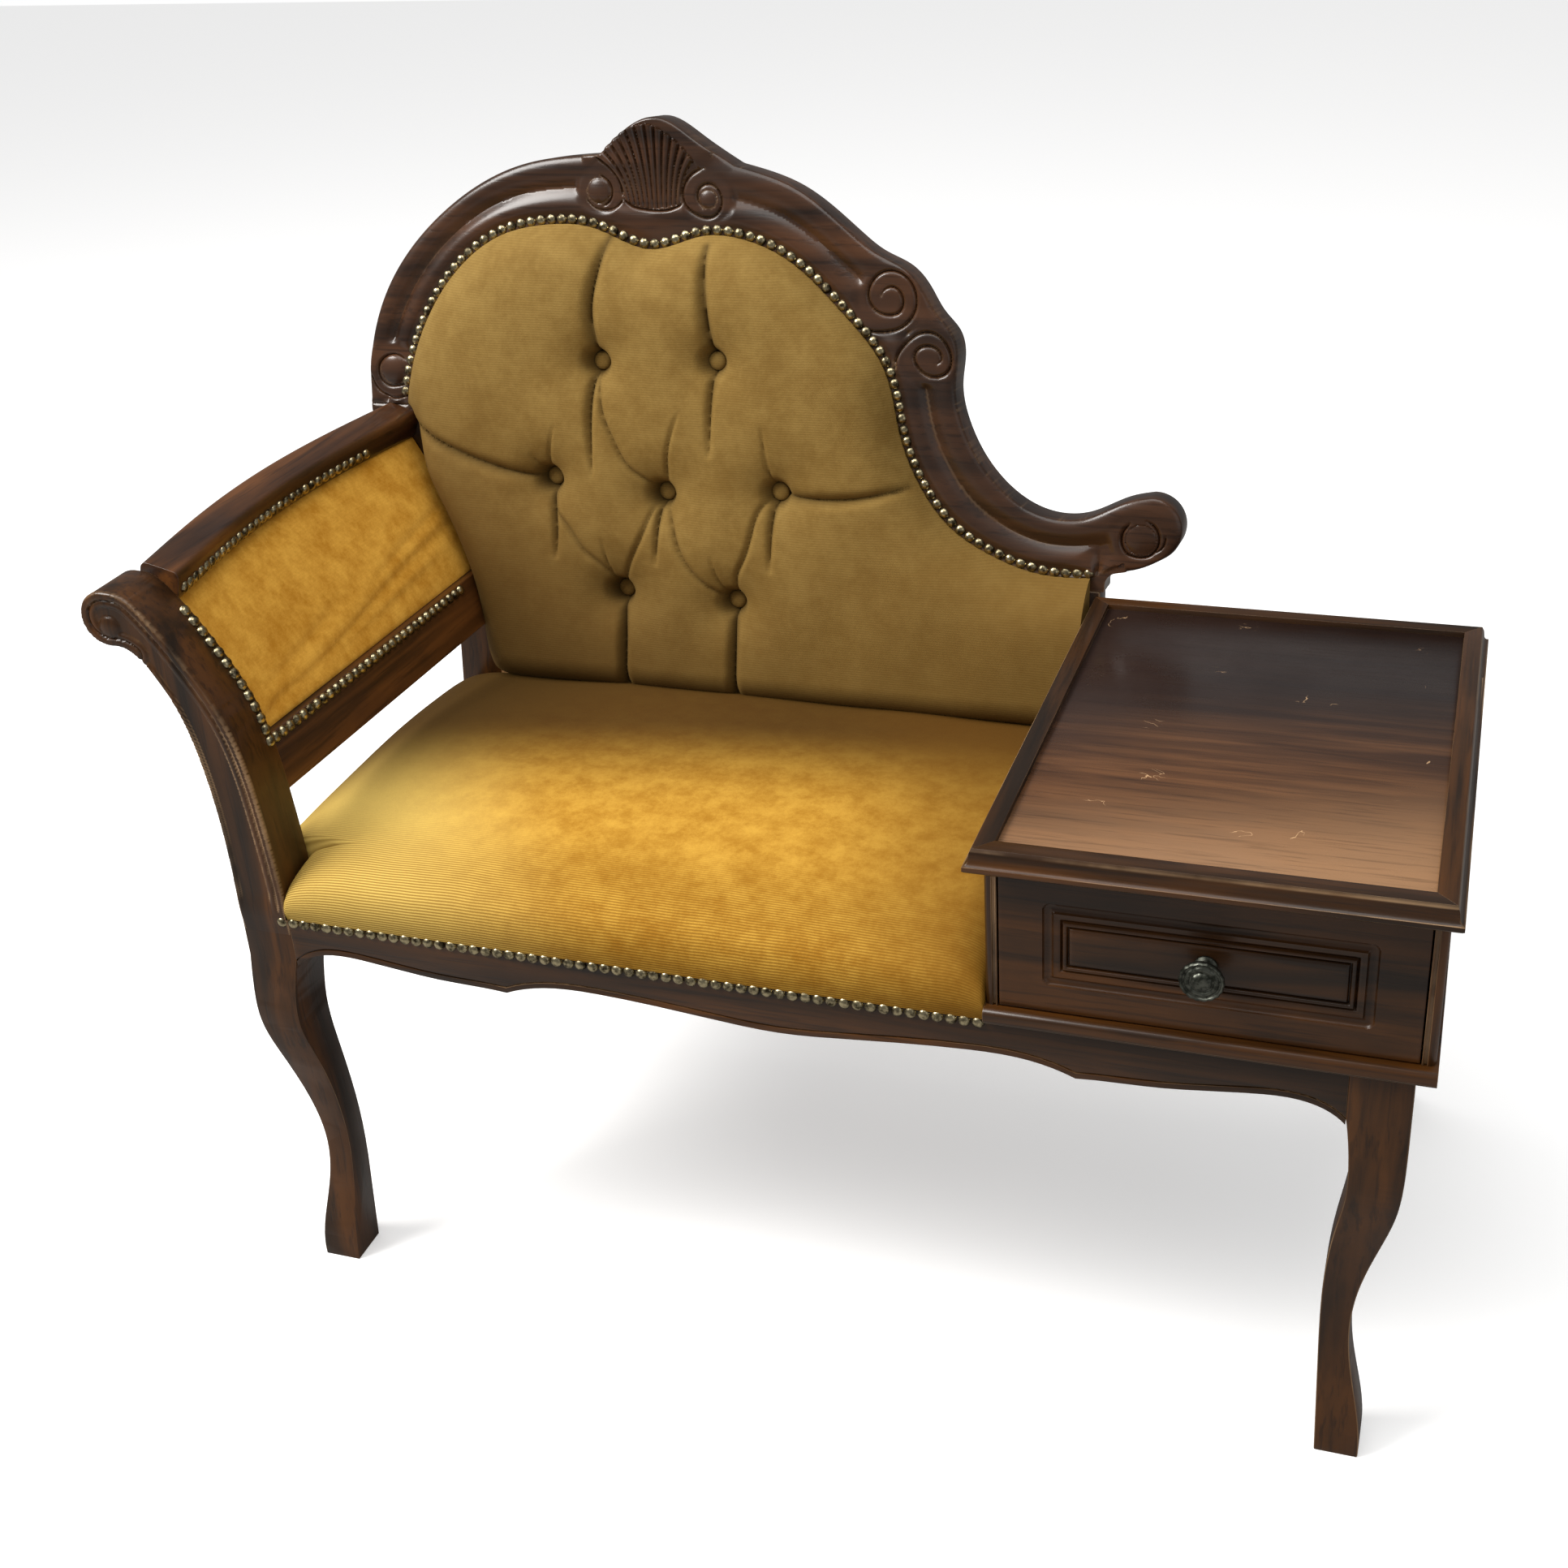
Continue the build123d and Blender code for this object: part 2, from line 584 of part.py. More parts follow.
def outside_back():
    """Covered panel that closes the rear of the back."""
    panel = raked(opening_face(), BACK_T - 1)
    return panel - raked(opening_face(), BACK_T - 1 - OUTSIDE_BACK_T, 5)


# ---------------------------------------------------------------- tufted back cushion
CUSHION_LOW = 46.0
ARCH_TOP = 470.0
GRID_COLUMNS = 56
GRID_ROWS = 36
CROWN_FALL = 14.0  # padding gets this much thinner up to the arch
RIM_T = 3.0  # cloth and tape under the nails
NAIL_RISE = 24.0
EDGE_ROLL = 34.0  # rounding of the loose left and bottom edges
EDGE_T_SHARE = 0.3
PIT_DEPTH = 17.0
PIT_R = 22.0
BASIN_DEPTH = 11.0
BASIN_R = 52.0
PLEAT_DEPTH = 9.0
PLEAT_HALF = 12.0
CUSHION_LEFT = [
    (-410, CUSHION_LOW), (-424, CUSHION_LOW + 8), (-430, 70), (-431, 98), (-445, 143), (-455, 165),
    (-476, 206), (-494, 246), (-507, POST_TOP_W + 6),
]
RIM_RISE = 10.0  # the nailed rim starts this far above the free left edge, clear of the arm rail
TABLE_CLEAR = 1.0
CUSHION_RIM = 4.0  # cloth beyond the nail line
AXIS_X = -242.0  # middle of the tufting
BUTTON_ROWS = [(362, (-0.5, 0.5)), (244, (-1, 0, 1)), (144, (-0.5, 0.5))]  # height and steps from the axis
BUTTON_STEP = 113.0


def button_places():
    """Three rows of deep buttons: two, three and two."""
    places = []
    for w, columns in BUTTON_ROWS:
        for c in columns:
            places.append((AXIS_X + c * BUTTON_STEP, w))
    return places


def cushion_rim():
    """Top edge of the pad, just outside the nails, from the left end to the table."""
    rim = inset_line(Spline(*NAIL_ARCH), -CUSHION_RIM, 40)
    right = TABLE_LEFT - TABLE_CLEAR
    start = CUSHION_LEFT[-1][1] + RIM_RISE
    kept = [p for p in rim if p[0] < right - 8 and (p[1] > start or p[0] > CUSHION_LEFT[0][0])]
    return Spline(*kept, (right, kept[-1][1]))


def cushion_sides():
    """The four edges of the pad: bottom and rim from left to right, left and right upwards."""
    rim = cushion_rim()
    low_left, low_right = CUSHION_LEFT[0], (TABLE_LEFT - TABLE_CLEAR, CUSHION_LOW)
    bottom = Line(low_left, low_right)
    left = Spline(*CUSHION_LEFT, tuple(rim @ 0)[:2])
    right = Line(low_right, tuple(rim @ 1)[:2])
    return bottom, rim, left, right


def sampled(edges, step):
    points = []
    for edge in edges:
        count = max(2, int(edge.length / step))
        for i in range(count + 1):
            at = edge @ (i / count)
            points.append((at.X, at.Y))
    return points


NAILED_POINTS = sampled(cushion_sides()[1:2], 8)
LOOSE_POINTS = sampled(cushion_sides()[0::2], 8)


def distance_to(points, x, w):
    return min(math.hypot(px - x, pw - w) for px, pw in points)


def segment_distance(x, w, a, b):
    ax, aw = a
    bx, bw = b
    span = (bx - ax) ** 2 + (bw - aw) ** 2
    t = max(0.0, min(1.0, ((x - ax) * (bx - ax) + (w - aw) * (bw - aw)) / span))
    return math.hypot(x - ax - t * (bx - ax), w - aw - t * (bw - aw))


def pleat_lines():
    """Folds between the buttons and out to the edges."""
    b = button_places()
    return [
        (b[0], (-297, 466)), (b[1], (-197, 461)),
        (b[0], b[3]), (b[1], b[3]), (b[0], b[2]), (b[1], b[4]),
        (b[2], (-500, 284)), (b[4], (-6, 250)),
        (b[2], b[5]), (b[3], b[5]), (b[3], b[6]), (b[4], b[6]),
        (b[5], (-288, CUSHION_LOW)), (b[6], (-178, CUSHION_LOW)),
    ]


def rolled(distance, reach):
    """Smooth rise from an edge's share of the thickness to all of it at the reach."""
    share = max(0.0, min(distance, reach)) / reach
    return EDGE_T_SHARE + (1 - EDGE_T_SHARE) * math.sin(math.pi / 2 * share)


def cushion_height(x, w):
    """Padding thickness: full at the bottom, low at the nails, drawn in at buttons and folds."""
    crown = BACK_CUSHION_T - CROWN_FALL * max(0.0, min(1.0, w / ARCH_TOP))
    from_nails = distance_to(NAILED_POINTS, x, w)
    rise = 1 - math.exp(-from_nails / NAIL_RISE)
    edges = rolled(distance_to(LOOSE_POINTS, x, w), EDGE_ROLL)
    sink = 0.0
    for bx, bw in button_places():
        r = math.hypot(x - bx, w - bw)
        pit = PIT_DEPTH * math.exp(-((r / PIT_R) ** 4)) + BASIN_DEPTH * math.exp(-((r / BASIN_R) ** 2))
        sink = max(sink, pit)
    for a, b in pleat_lines():
        near = segment_distance(x, w, a, b)
        sink = max(sink, PLEAT_DEPTH * math.exp(-((near / PLEAT_HALF) ** 2)))
    return RIM_T + (crown - RIM_T - sink) * rise * edges


def cushion_columns():
    """Places along rim and bottom, evenly spread over both the rim's length and its width."""
    rim = cushion_rim()
    start, width = (rim @ 0).X, (rim @ 1).X - (rim @ 0).X
    columns = []
    for i in range(GRID_COLUMNS + 1):
        u = i / GRID_COLUMNS
        low, high = 0.0, 1.0
        while high - low > 1e-5:
            t = (low + high) / 2
            across = ((rim @ t).X - start) / width
            low, high = (t, high) if (t + across) / 2 < u else (low, t)
        columns.append((u, t, (across + u) / 2))
    return columns


def back_cushion():
    """Crowned pad under ruled strips, with a pit at each button and a valley along each fold."""
    bottom, rim, left, right = cushion_sides()
    corners = bottom @ 0, bottom @ 1, rim @ 0, rim @ 1
    rows = [j / GRID_ROWS for j in range(GRID_ROWS + 1)]
    ribs = []
    for u, t, share in cushion_columns():
        line = []
        for v in rows:
            ruled = (bottom @ share) * (1 - v) + (rim @ t) * v
            sides = (left @ v) * (1 - u) + (right @ v) * u
            low = corners[0] * (1 - u) + corners[1] * u
            high = corners[2] * (1 - u) + corners[3] * u
            at = ruled + sides - low * (1 - v) - high * v
            line.append(RAKED.from_local_coords(Vector(at.X, at.Y, cushion_height(at.X, at.Y))))
        ribs.append(Wire([Edge.make_spline(line, parameters=rows)]))
    top = Shell.make_loft(ribs, True).faces()
    shared = [edge for face in top for edge in face.edges()]
    walls = []
    feet = []
    for edge in shared:
        if shared.count(edge) > 1:
            continue
        steps = 1 if edge.geom_type == GeomType.LINE else 24
        points = [RAKED.to_local_coords(edge @ (i / steps)) for i in range(steps + 1)]
        down = [RAKED.from_local_coords(Vector(p.X, p.Y, SOFT_GAP)) for p in points]
        foot = Edge.make_line(*down) if steps == 1 else Edge.make_spline(down)
        walls.append(Face.make_surface_from_curves(edge, foot))
        feet.append(foot)
    base = Face(Wire(feet))
    return Solid(Shell([*top, base] + walls))


def back_buttons():
    """Covered buttons, one in each pit."""
    buttons = []
    drum = Pos(0, 0, BUTTON_H / 2) * Cylinder(BUTTON_R, BUTTON_H)
    button = fillet(drum.edges().sort_by(Axis.Z)[-1], BUTTON_H * 0.75)
    for x, w in button_places():
        ring = [i * math.pi / 6 for i in range(12)]
        heights = [cushion_height(x + BUTTON_R * math.cos(t), w + BUTTON_R * math.sin(t)) for t in ring]
        seat = Plane(RAKED.from_local_coords(Vector(x, w, max(heights) + BUTTON_LIFT)), z_dir=RAKED.z_dir)
        buttons.append(seat * button)
    return buttons


# ---------------------------------------------------------------- seat
def seat_board():
    """Plywood platform on the rails, notched round the left front post."""
    left = -LEG_OUT + 4
    right = CABINET_LEFT - FIT - 2
    board = box(left, right, FRAME_FRONT + 4, BACK_FRONT - FIT, RAIL_TOP, BOARD_TOP)
    notch = box(left - 5, -LEG_IN + FIT, 0, LEG_BACK + FIT, RAIL_TOP - 5, BOARD_TOP + 5)
    return board - notch


def seat_cushion():
    """Crowned seat with drawn-in sides, notched round the post and closed over the board's edge."""
    left = -LEG_OUT + 1
    right = CABINET_LEFT - SOFT_GAP
    front = FRAME_FRONT - 1.5
    back = BACK_FRONT - 4
    crown = SEAT_CROWN_Z - RAIL_TOP
    foot = [(0, 4, 16), (14, 0, 18), (32, 3, 24)]
    levels = foot + [(crown - 17, 20, 34), (crown - 6, 60, 60), (crown, 130, 60)]
    sections = []
    for up, inset, radius in levels:
        x0 = left + inset - (SEAT_BULGE if up else 0) * 0.4
        x1 = right - inset * 0.5
        y0 = front + inset * 0.8 - (SEAT_BULGE if 0 < up < 40 else 0) * 0.5
        y1 = back - inset * 0.6
        place = Plane(((x0 + x1) / 2, (y0 + y1) / 2, RAIL_TOP + SOFT_GAP + up))
        sections.append(place * RectangleRounded(x1 - x0, y1 - y0, radius))
    pad = loft(sections)
    notch = box(-BEYOND, -LEG_IN + SOFT_GAP, 0, LEG_BACK + SOFT_GAP, 0, BEYOND)
    table = box(right, BEYOND, 0, BEYOND, 0, BEYOND)
    board_left = -LEG_OUT + 4 - SOFT_GAP
    board = box(board_left, right + 1, FRAME_FRONT + 4 - SOFT_GAP, BACK_FRONT, 0, BOARD_TOP + SOFT_GAP)
    return largest(pad - notch - table - board - behind_back(SOFT_GAP))


# ---------------------------------------------------------------- arm
ARM_TOP_X = -515.0
ARM_LOW_X = -460.0
ARM_LOW_X_BACK = -447.0


def arm_back_y(z):
    """Front plane of the raked back at a height."""
    return BACK_FRONT + (z - RAIL_TOP) * TAN_R


def behind_back(clear=0.0):
    """Everything behind the front plane of the back."""
    return raked(Rectangle(2 * BEYOND, 2 * BEYOND), BEYOND, clear)


def arm_top_x(t):
    """Inner edge of the top rail in plan, bowed outwards."""
    return ARM_TOP_X - ARM_BOW * math.sin(math.pi * t)


def arm_top_section(t):
    """Plane across the top rail at a share of its length: X inwards, Y downwards, tilted."""
    y1 = arm_back_y(ARM_RAIL_Z) + 12
    x = arm_top_x(t) - ARM_RAIL_W / 2 + 4
    place = Plane((x, LEG_BACK + (y1 - LEG_BACK) * t, ARM_RAIL_Z), x_dir=(1, 0, 0), z_dir=(0, 1, 0))
    return Plane(place.location * Rot(0, 0, ARM_RAIL_TILT))


def arm_top_rail():
    """Rounded rail, bowed outwards, from the scroll to the back stile."""
    outline = RectangleRounded(ARM_RAIL_W, ARM_RAIL_H, ARM_RAIL_ROUND)
    rail = loft([arm_top_section(i / 5) * outline for i in range(6)])
    return largest(rail - behind_back())


def arm_low_x(y):
    t = (y - LEG_BACK) / (BACK_FRONT - LEG_BACK)
    return ARM_LOW_X + (ARM_LOW_X_BACK - ARM_LOW_X) * t


def arm_lower_rail():
    """Flat rail under the pad, leaning with it."""
    faces = []
    for y in (LEG_BACK, BACK_FRONT + 40):
        x = arm_low_x(y)
        corners = [
            (x, y, ARM_LOW_Z + ARM_LOW_H),
            (x + ARM_LOW_LEAN, y, ARM_LOW_Z),
            (x + ARM_LOW_LEAN - ARM_LOW_T, y, ARM_LOW_Z),
            (x - ARM_LOW_T, y, ARM_LOW_Z + ARM_LOW_H),
        ]
        faces.append(Polyline(*corners, close=True))
    bar = Solid.make_loft([Wire(f.edges()) for f in faces], True)
    return largest(Part() + bar - behind_back(0))


def arm_pad():
    """Upholstered panel between the two arm rails, full on its inner side."""
    y0 = LEG_BACK + SOFT_GAP
    y1 = BACK_FRONT - 2
    top = ARM_PAD_TOP - 2.5
    low = ARM_PAD_BOTTOM + SOFT_GAP
    sections = []
    for i in range(5):
        t = i / 4
        y = y0 + (y1 - y0) * t
        xt = arm_top_x(t) - 6
        xb = arm_low_x(y) - 7
        mid = ((xt + xb) / 2 + 7, (top + low) / 2)
        out = ((xt + xb) / 2 - ARM_PAD_T + 5, (top + low) / 2)
        edges = [
            Spline((xb, y, low), (mid[0], y, mid[1]), (xt, y, top)),
            Line((xt, y, top), (xt - ARM_PAD_T, y, top)),
            Spline((xt - ARM_PAD_T, y, top), (out[0], y, out[1]), (xb - ARM_PAD_T + 5, y, low)),
            Line((xb - ARM_PAD_T + 5, y, low), (xb, y, low)),
        ]
        sections.append(Wire(edges))
    return Solid.make_loft(sections, False)


# ---------------------------------------------------------------- cabinet and table top
def cabinet_side(x0, x1):
    return box(x0, x1, CABINET_FRONT + CORNER_BEAD, CABINET_BACK, FOOT_TOP, BED_BOTTOM)


def cabinet_side_left():
    return cabinet_side(CABINET_LEFT, CABINET_LEFT + SIDE_PANEL_T)


def cabinet_side_right():
    return cabinet_side(CABINET_RIGHT - SIDE_PANEL_T, CABINET_RIGHT)


def corner_beads():
    """Quarter-round strips on the front corners, each with a groove beside it."""
    strips = []
    for x_out, inward in ((CABINET_LEFT, 1), (CABINET_RIGHT, -1)):
        width = SIDE_PANEL_T
        x_in = x_out + inward * width
        low, high = min(x_out, x_in), max(x_out, x_in)
        strip = box(low, high, CABINET_FRONT, CABINET_FRONT + CORNER_BEAD, FOOT_TOP, BED_BOTTOM)
        corner = strip.edges().filter_by(Axis.Z).sort_by(Axis.Y)[:2].sort_by(Axis.X)
        edge = corner[0] if inward > 0 else corner[-1]
        strip = fillet(edge, CORNER_BEAD - 0.5)
        gx = x_out + inward * (CORNER_BEAD + 0.2)
        groove_low, groove_high = min(gx, gx + inward * BEAD_GROOVE), max(gx, gx + inward * BEAD_GROOVE)
        groove = box(groove_low, groove_high, CABINET_FRONT - 1, CABINET_FRONT + 2.5, FOOT_TOP, BED_BOTTOM)
        strips.append(strip - groove)
    return strips


def cabinet_back():
    x0 = CABINET_LEFT + SIDE_PANEL_T
    x1 = CABINET_RIGHT - SIDE_PANEL_T
    return box(x0, x1, CABINET_BACK - CABINET_BACK_T, CABINET_BACK, FOOT_TOP, BED_BOTTOM)


def cabinet_foot():
    """Moulded board under the cabinet: a rounded nosing over a small cove on front and right."""
    x0 = CABINET_LEFT
    x1 = CABINET_RIGHT + FOOT_OUT_SIDE
    y0 = CABINET_FRONT - FOOT_OUT_FRONT
    board = box(x0, x1, y0, CABINET_BACK, RAIL_TOP, FOOT_TOP)
    front_edges = board.edges().filter_by(Axis.X).group_by(Axis.Y)[0].sort_by(Axis.Z)
    board = fillet(front_edges[1], 5.0)
    cove = Pos((x0 + x1) / 2, y0, RAIL_TOP) * Rot(0, 90, 0) * Cylinder(3.5, x1 - x0 + 2)
    return board - cove


def bed_board():
    """Board under the top with its moulded front and sides."""
    x0 = CABINET_LEFT
    x1 = CABINET_RIGHT
    y0 = CABINET_FRONT - BED_OUT
    board = box(x0, x1 + BED_OUT, y0, CABINET_BACK, BED_BOTTOM, TOP_BOTTOM)
    edge = board.edges().filter_by(Axis.X).group_by(Axis.Y)[0].sort_by(Axis.Z)[0]
    board = fillet(edge, 4.0)
    return board


def top_edge_section():
    """Ogee of the edging: distance in from the lip, height over the underside."""
    h = TOP_T
    return [
        Line((TOP_BAND, 0), (1.5, 0)),
        Line((1.5, 0), (0, 1.5)),
        Line((0, 1.5), (0, LIP_H)),
        Spline((0, LIP_H), (3.2, LIP_H + 2.6), (4.0, LIP_H + 6.5), (EDGE_IN - 0.8, h - 2.2)),
        Line((EDGE_IN - 0.8, h - 2.2), (EDGE_IN, h)),
        Line((EDGE_IN, h), (TOP_BAND, h)),
        Line((TOP_BAND, h), (TOP_BAND, 0)),
    ]


def edging(start, length, direction):
    """One mitred length of the edging. Start is the outer corner, direction its angle in plan."""
    face = Plane.YZ * make_face(top_edge_section())
    bar = extrude(face, length)
    reach = 4 * TOP_BAND
    for x, sign in ((0, 1), (length, -1)):
        far = sign * reach
        tri = Polyline((x, 0), (x - far, 0), (x - far, reach), (x + far, reach), close=True)
        bar = bar - Pos(0, 0, -5) * extrude(make_face(tri), TOP_T + 10)
    return Pos(start[0], start[1], TOP_BOTTOM) * Rot(0, 0, direction) * bar


def top_edges():
    """Four mitred lengths round the top."""
    w = TABLE_W
    d = TABLE_BACK
    return {
        "top_edge_front": edging((TABLE_LEFT, 0), w, 0),
        "top_edge_right": edging((TABLE_RIGHT, 0), d, 90),
        "top_edge_back": edging((TABLE_RIGHT, d), w, 180),
        "top_edge_left": edging((TABLE_LEFT, d), d, 270),
    }


def top_panel():
    """Veneered panel inside the edging."""
    x0 = TABLE_LEFT + TOP_BAND
    x1 = TABLE_RIGHT - TOP_BAND
    return box(x0, x1, TOP_BAND, TABLE_BACK - TOP_BAND, TOP_BOTTOM, TABLE_TOP - TOP_STEP)


# ---------------------------------------------------------------- drawer
INSIDE_LEFT = CABINET_LEFT + SIDE_PANEL_T
INSIDE_RIGHT = CABINET_RIGHT - SIDE_PANEL_T
DRAWER_LEFT = INSIDE_LEFT + DRAWER_GAP
DRAWER_RIGHT = INSIDE_RIGHT - DRAWER_GAP
DRAWER_LOW = FOOT_TOP + RUNNER_T + FIT
DRAWER_FRONT_LOW = FOOT_TOP + DRAWER_GAP
DRAWER_FRONT_TOP = BED_BOTTOM - DRAWER_GAP
DRAWER_REAR = CABINET_BACK - CABINET_BACK_T - DRAWER_BACK_GAP
FRONT_INNER = CABINET_FRONT + DRAWER_FRONT_T
KNOB_X = (DRAWER_LEFT + DRAWER_RIGHT) / 2
KNOB_Z = (DRAWER_FRONT_LOW + DRAWER_FRONT_TOP) / 2


def rounded_frame(margin, radius, depth):
    """A block with rounded corners, set in from the drawer front's edges and sunk from its face."""
    w = DRAWER_RIGHT - DRAWER_LEFT - 2 * margin
    h = DRAWER_FRONT_TOP - DRAWER_FRONT_LOW - 2 * margin
    place = Plane((KNOB_X, CABINET_FRONT, KNOB_Z), x_dir=(1, 0, 0), z_dir=(0, -1, 0))
    return extrude(place * RectangleRounded(w, h, radius), -depth)


def drawer_front():
    """Front with a sunk moulding that leaves a raised field."""
    board = box(DRAWER_LEFT, DRAWER_RIGHT, CABINET_FRONT, FRONT_INNER, DRAWER_FRONT_LOW, DRAWER_FRONT_TOP)
    margin_v = PANEL_MARGIN - 10
    outer = rounded_frame(margin_v, 6, PANEL_DEPTH)
    ring = outer - rounded_frame(margin_v + 4.5, 5, PANEL_DEPTH + 1)
    inner = rounded_frame(margin_v + PANEL_FIELD - 3, 4, PANEL_DEPTH) - rounded_frame(
        margin_v + PANEL_FIELD, 3, PANEL_DEPTH + 1
    )
    step = rounded_frame(margin_v + 4, 5, 1.2) - rounded_frame(margin_v + PANEL_FIELD - 1, 3, 3)
    hole = Pos(KNOB_X, 0, KNOB_Z) * Rot(90, 0, 0) * Cylinder(KNOB_SCREW_D / 2, 200)
    return board - ring - inner - step - hole


def drawer_side(x0):
    side = box(x0, x0 + DRAWER_SIDE_T, FRONT_INNER, DRAWER_REAR, DRAWER_LOW, DRAWER_LOW + DRAWER_SIDE_H)
    return side


def drawer_side_left():
    return drawer_side(DRAWER_LEFT)


def drawer_side_right():
    return drawer_side(DRAWER_RIGHT - DRAWER_SIDE_T)


def drawer_rear():
    x0 = DRAWER_LEFT + DRAWER_SIDE_T
    x1 = DRAWER_RIGHT - DRAWER_SIDE_T
    top = DRAWER_LOW + DRAWER_SIDE_H - 8
    return box(x0, x1, DRAWER_REAR - DRAWER_SIDE_T, DRAWER_REAR, DRAWER_LOW, top)


def drawer_bottom():
    x0 = DRAWER_LEFT + DRAWER_SIDE_T
    x1 = DRAWER_RIGHT - DRAWER_SIDE_T
    low = DRAWER_LOW + 3
    return box(x0, x1, FRONT_INNER, DRAWER_REAR - DRAWER_SIDE_T, low, low + DRAWER_BOTTOM_T)


def drawer_runners():
    """Two hardwood strips that the drawer sides slide on."""
    y0, y1 = FRONT_INNER + 2, CABINET_BACK - CABINET_BACK_T - FIT
    places = (INSIDE_LEFT, INSIDE_RIGHT - RUNNER_W)
    return [box(x0, x0 + RUNNER_W, y0, y1, FOOT_TOP, FOOT_TOP + RUNNER_T) for x0 in places]


def drawer_knob():
    """Turned knob with a stepped dome."""
    r = KNOB_R
    out = KNOB_OUT
    edges = [
        Line((0, 0), (8.5, 0)),
        Line((8.5, 0), (8.5, 2)),
        Spline((8.5, 2), (6.2, 5), (5.5, out - 14), (7.5, out - 10)),
        Spline((7.5, out - 10), (r - 1, out - 7.5), (r, out - 5), (r - 2, out - 3)),
        Line((r - 2, out - 3), (r - 4.5, out - 3.6)),
        Line((r - 4.5, out - 3.6), (r - 5.5, out - 2)),
        Spline((r - 5.5, out - 2), (5, out - 0.4), (0, out)),
        Line((0, out), (0, 0)),
    ]
    solid = revolve(Plane.XZ * make_face(edges), Axis.Z)
    place = Plane((KNOB_X, CABINET_FRONT, KNOB_Z), z_dir=(0, -1, 0))
    tapped = Pos(KNOB_X, CABINET_FRONT - 5, KNOB_Z) * Rot(90, 0, 0) * Cylinder(KNOB_SCREW_D / 2, 10)
    return place * solid - tapped


def knob_screw():
    head_y = FRONT_INNER
    shank_len = DRAWER_FRONT_T + 10
    middle = Pos(KNOB_X, head_y - shank_len / 2, KNOB_Z)
    shank = middle * Rot(90, 0, 0) * Cylinder(KNOB_SCREW_D / 2, shank_len)
    head = Pos(KNOB_X, head_y + 1.25, KNOB_Z) * Rot(90, 0, 0) * Cylinder(4, 2.5)
    return shank + head


# ---------------------------------------------------------------- nails
def seat_nails():
    """One row along the top of the apron."""
    z = RAIL_TOP - 3.5
    path = Line((-LEG_IN - 6, FRAME_FRONT, z), (CABINET_LEFT - NAIL_R - 1, FRAME_FRONT, z))
    return [nail(path @ t, (0, -1, 0)) for t in along(path, NAIL_PITCH)]


def back_nails():
    """A row round the arch, driven into the frame beside the cushion's rim."""
    line = Spline(*[RAKED.from_local_coords(Vector(*p, 0)) for p in nail_line()])
    return [nail(line @ t, RAKED.z_dir) for t in along(line, NAIL_PITCH)]


def nail_line():
    right = TABLE_LEFT + 2
    start = CUSHION_LEFT[-1][1] + RIM_RISE
    points = inset_line(Spline(*NAIL_ARCH), -CUSHION_RIM - NAIL_R * 0.92 - SOFT_GAP - 0.1, 40)
    return [p for p in points if p[0] < right and (p[1] > start or p[0] > CUSHION_LEFT[0][0])]


def arm_nails():
    """Rows on the arm's top rail, front support and lower rail, round the pad."""
    nails = []
    y0 = LEG_BACK + 5
    y1 = BACK_FRONT - 40
    count = round((y1 - y0) / NAIL_PITCH)
    low_slope = (arm_low_x(y1) - arm_low_x(y0)) / (y1 - y0)
    for i in range(count + 1):
        y = y0 + (y1 - y0) * i / count
        low = Vector(arm_low_x(y) + ARM_LOW_LEAN * NAIL_R / ARM_LOW_H, y, ARM_LOW_Z + ARM_LOW_H - NAIL_R)
        outward = Vector(ARM_LOW_H, -ARM_LOW_H * low_slope, ARM_LOW_LEAN).normalized()
        nails.append(nail(low + outward * NAIL_LIFT, outward))
    for i in range(1, count + 1):
        t = i / count * (y1 - LEG_BACK) / (arm_back_y(ARM_RAIL_Z) + 12 - LEG_BACK)
        here, there = arm_top_section(t), arm_top_section(t + 0.01)
        outward = here.y_dir.cross(there.origin - here.origin)
        outward = outward if outward.X > 0 else -outward
        at = here.from_local_coords(Vector(ARM_RAIL_W / 2, 3.0, 0))
        nails.append(nail(at + outward.normalized() * NAIL_LIFT, outward))
    edge = support_inner_edge()
    for t in along(edge, NAIL_PITCH):
        at, ahead = edge @ t, edge % t
        if ARM_PAD_BOTTOM < at.Y < ARM_RAIL_Z - ARM_RAIL_H / 2:
            outward = Vector(ahead.Y, 0, -ahead.X)
            place = Vector(at.X, LEG_BACK - NAIL_R - 1, at.Y) + outward * NAIL_LIFT
            nails.append(nail(place, outward))
    return nails


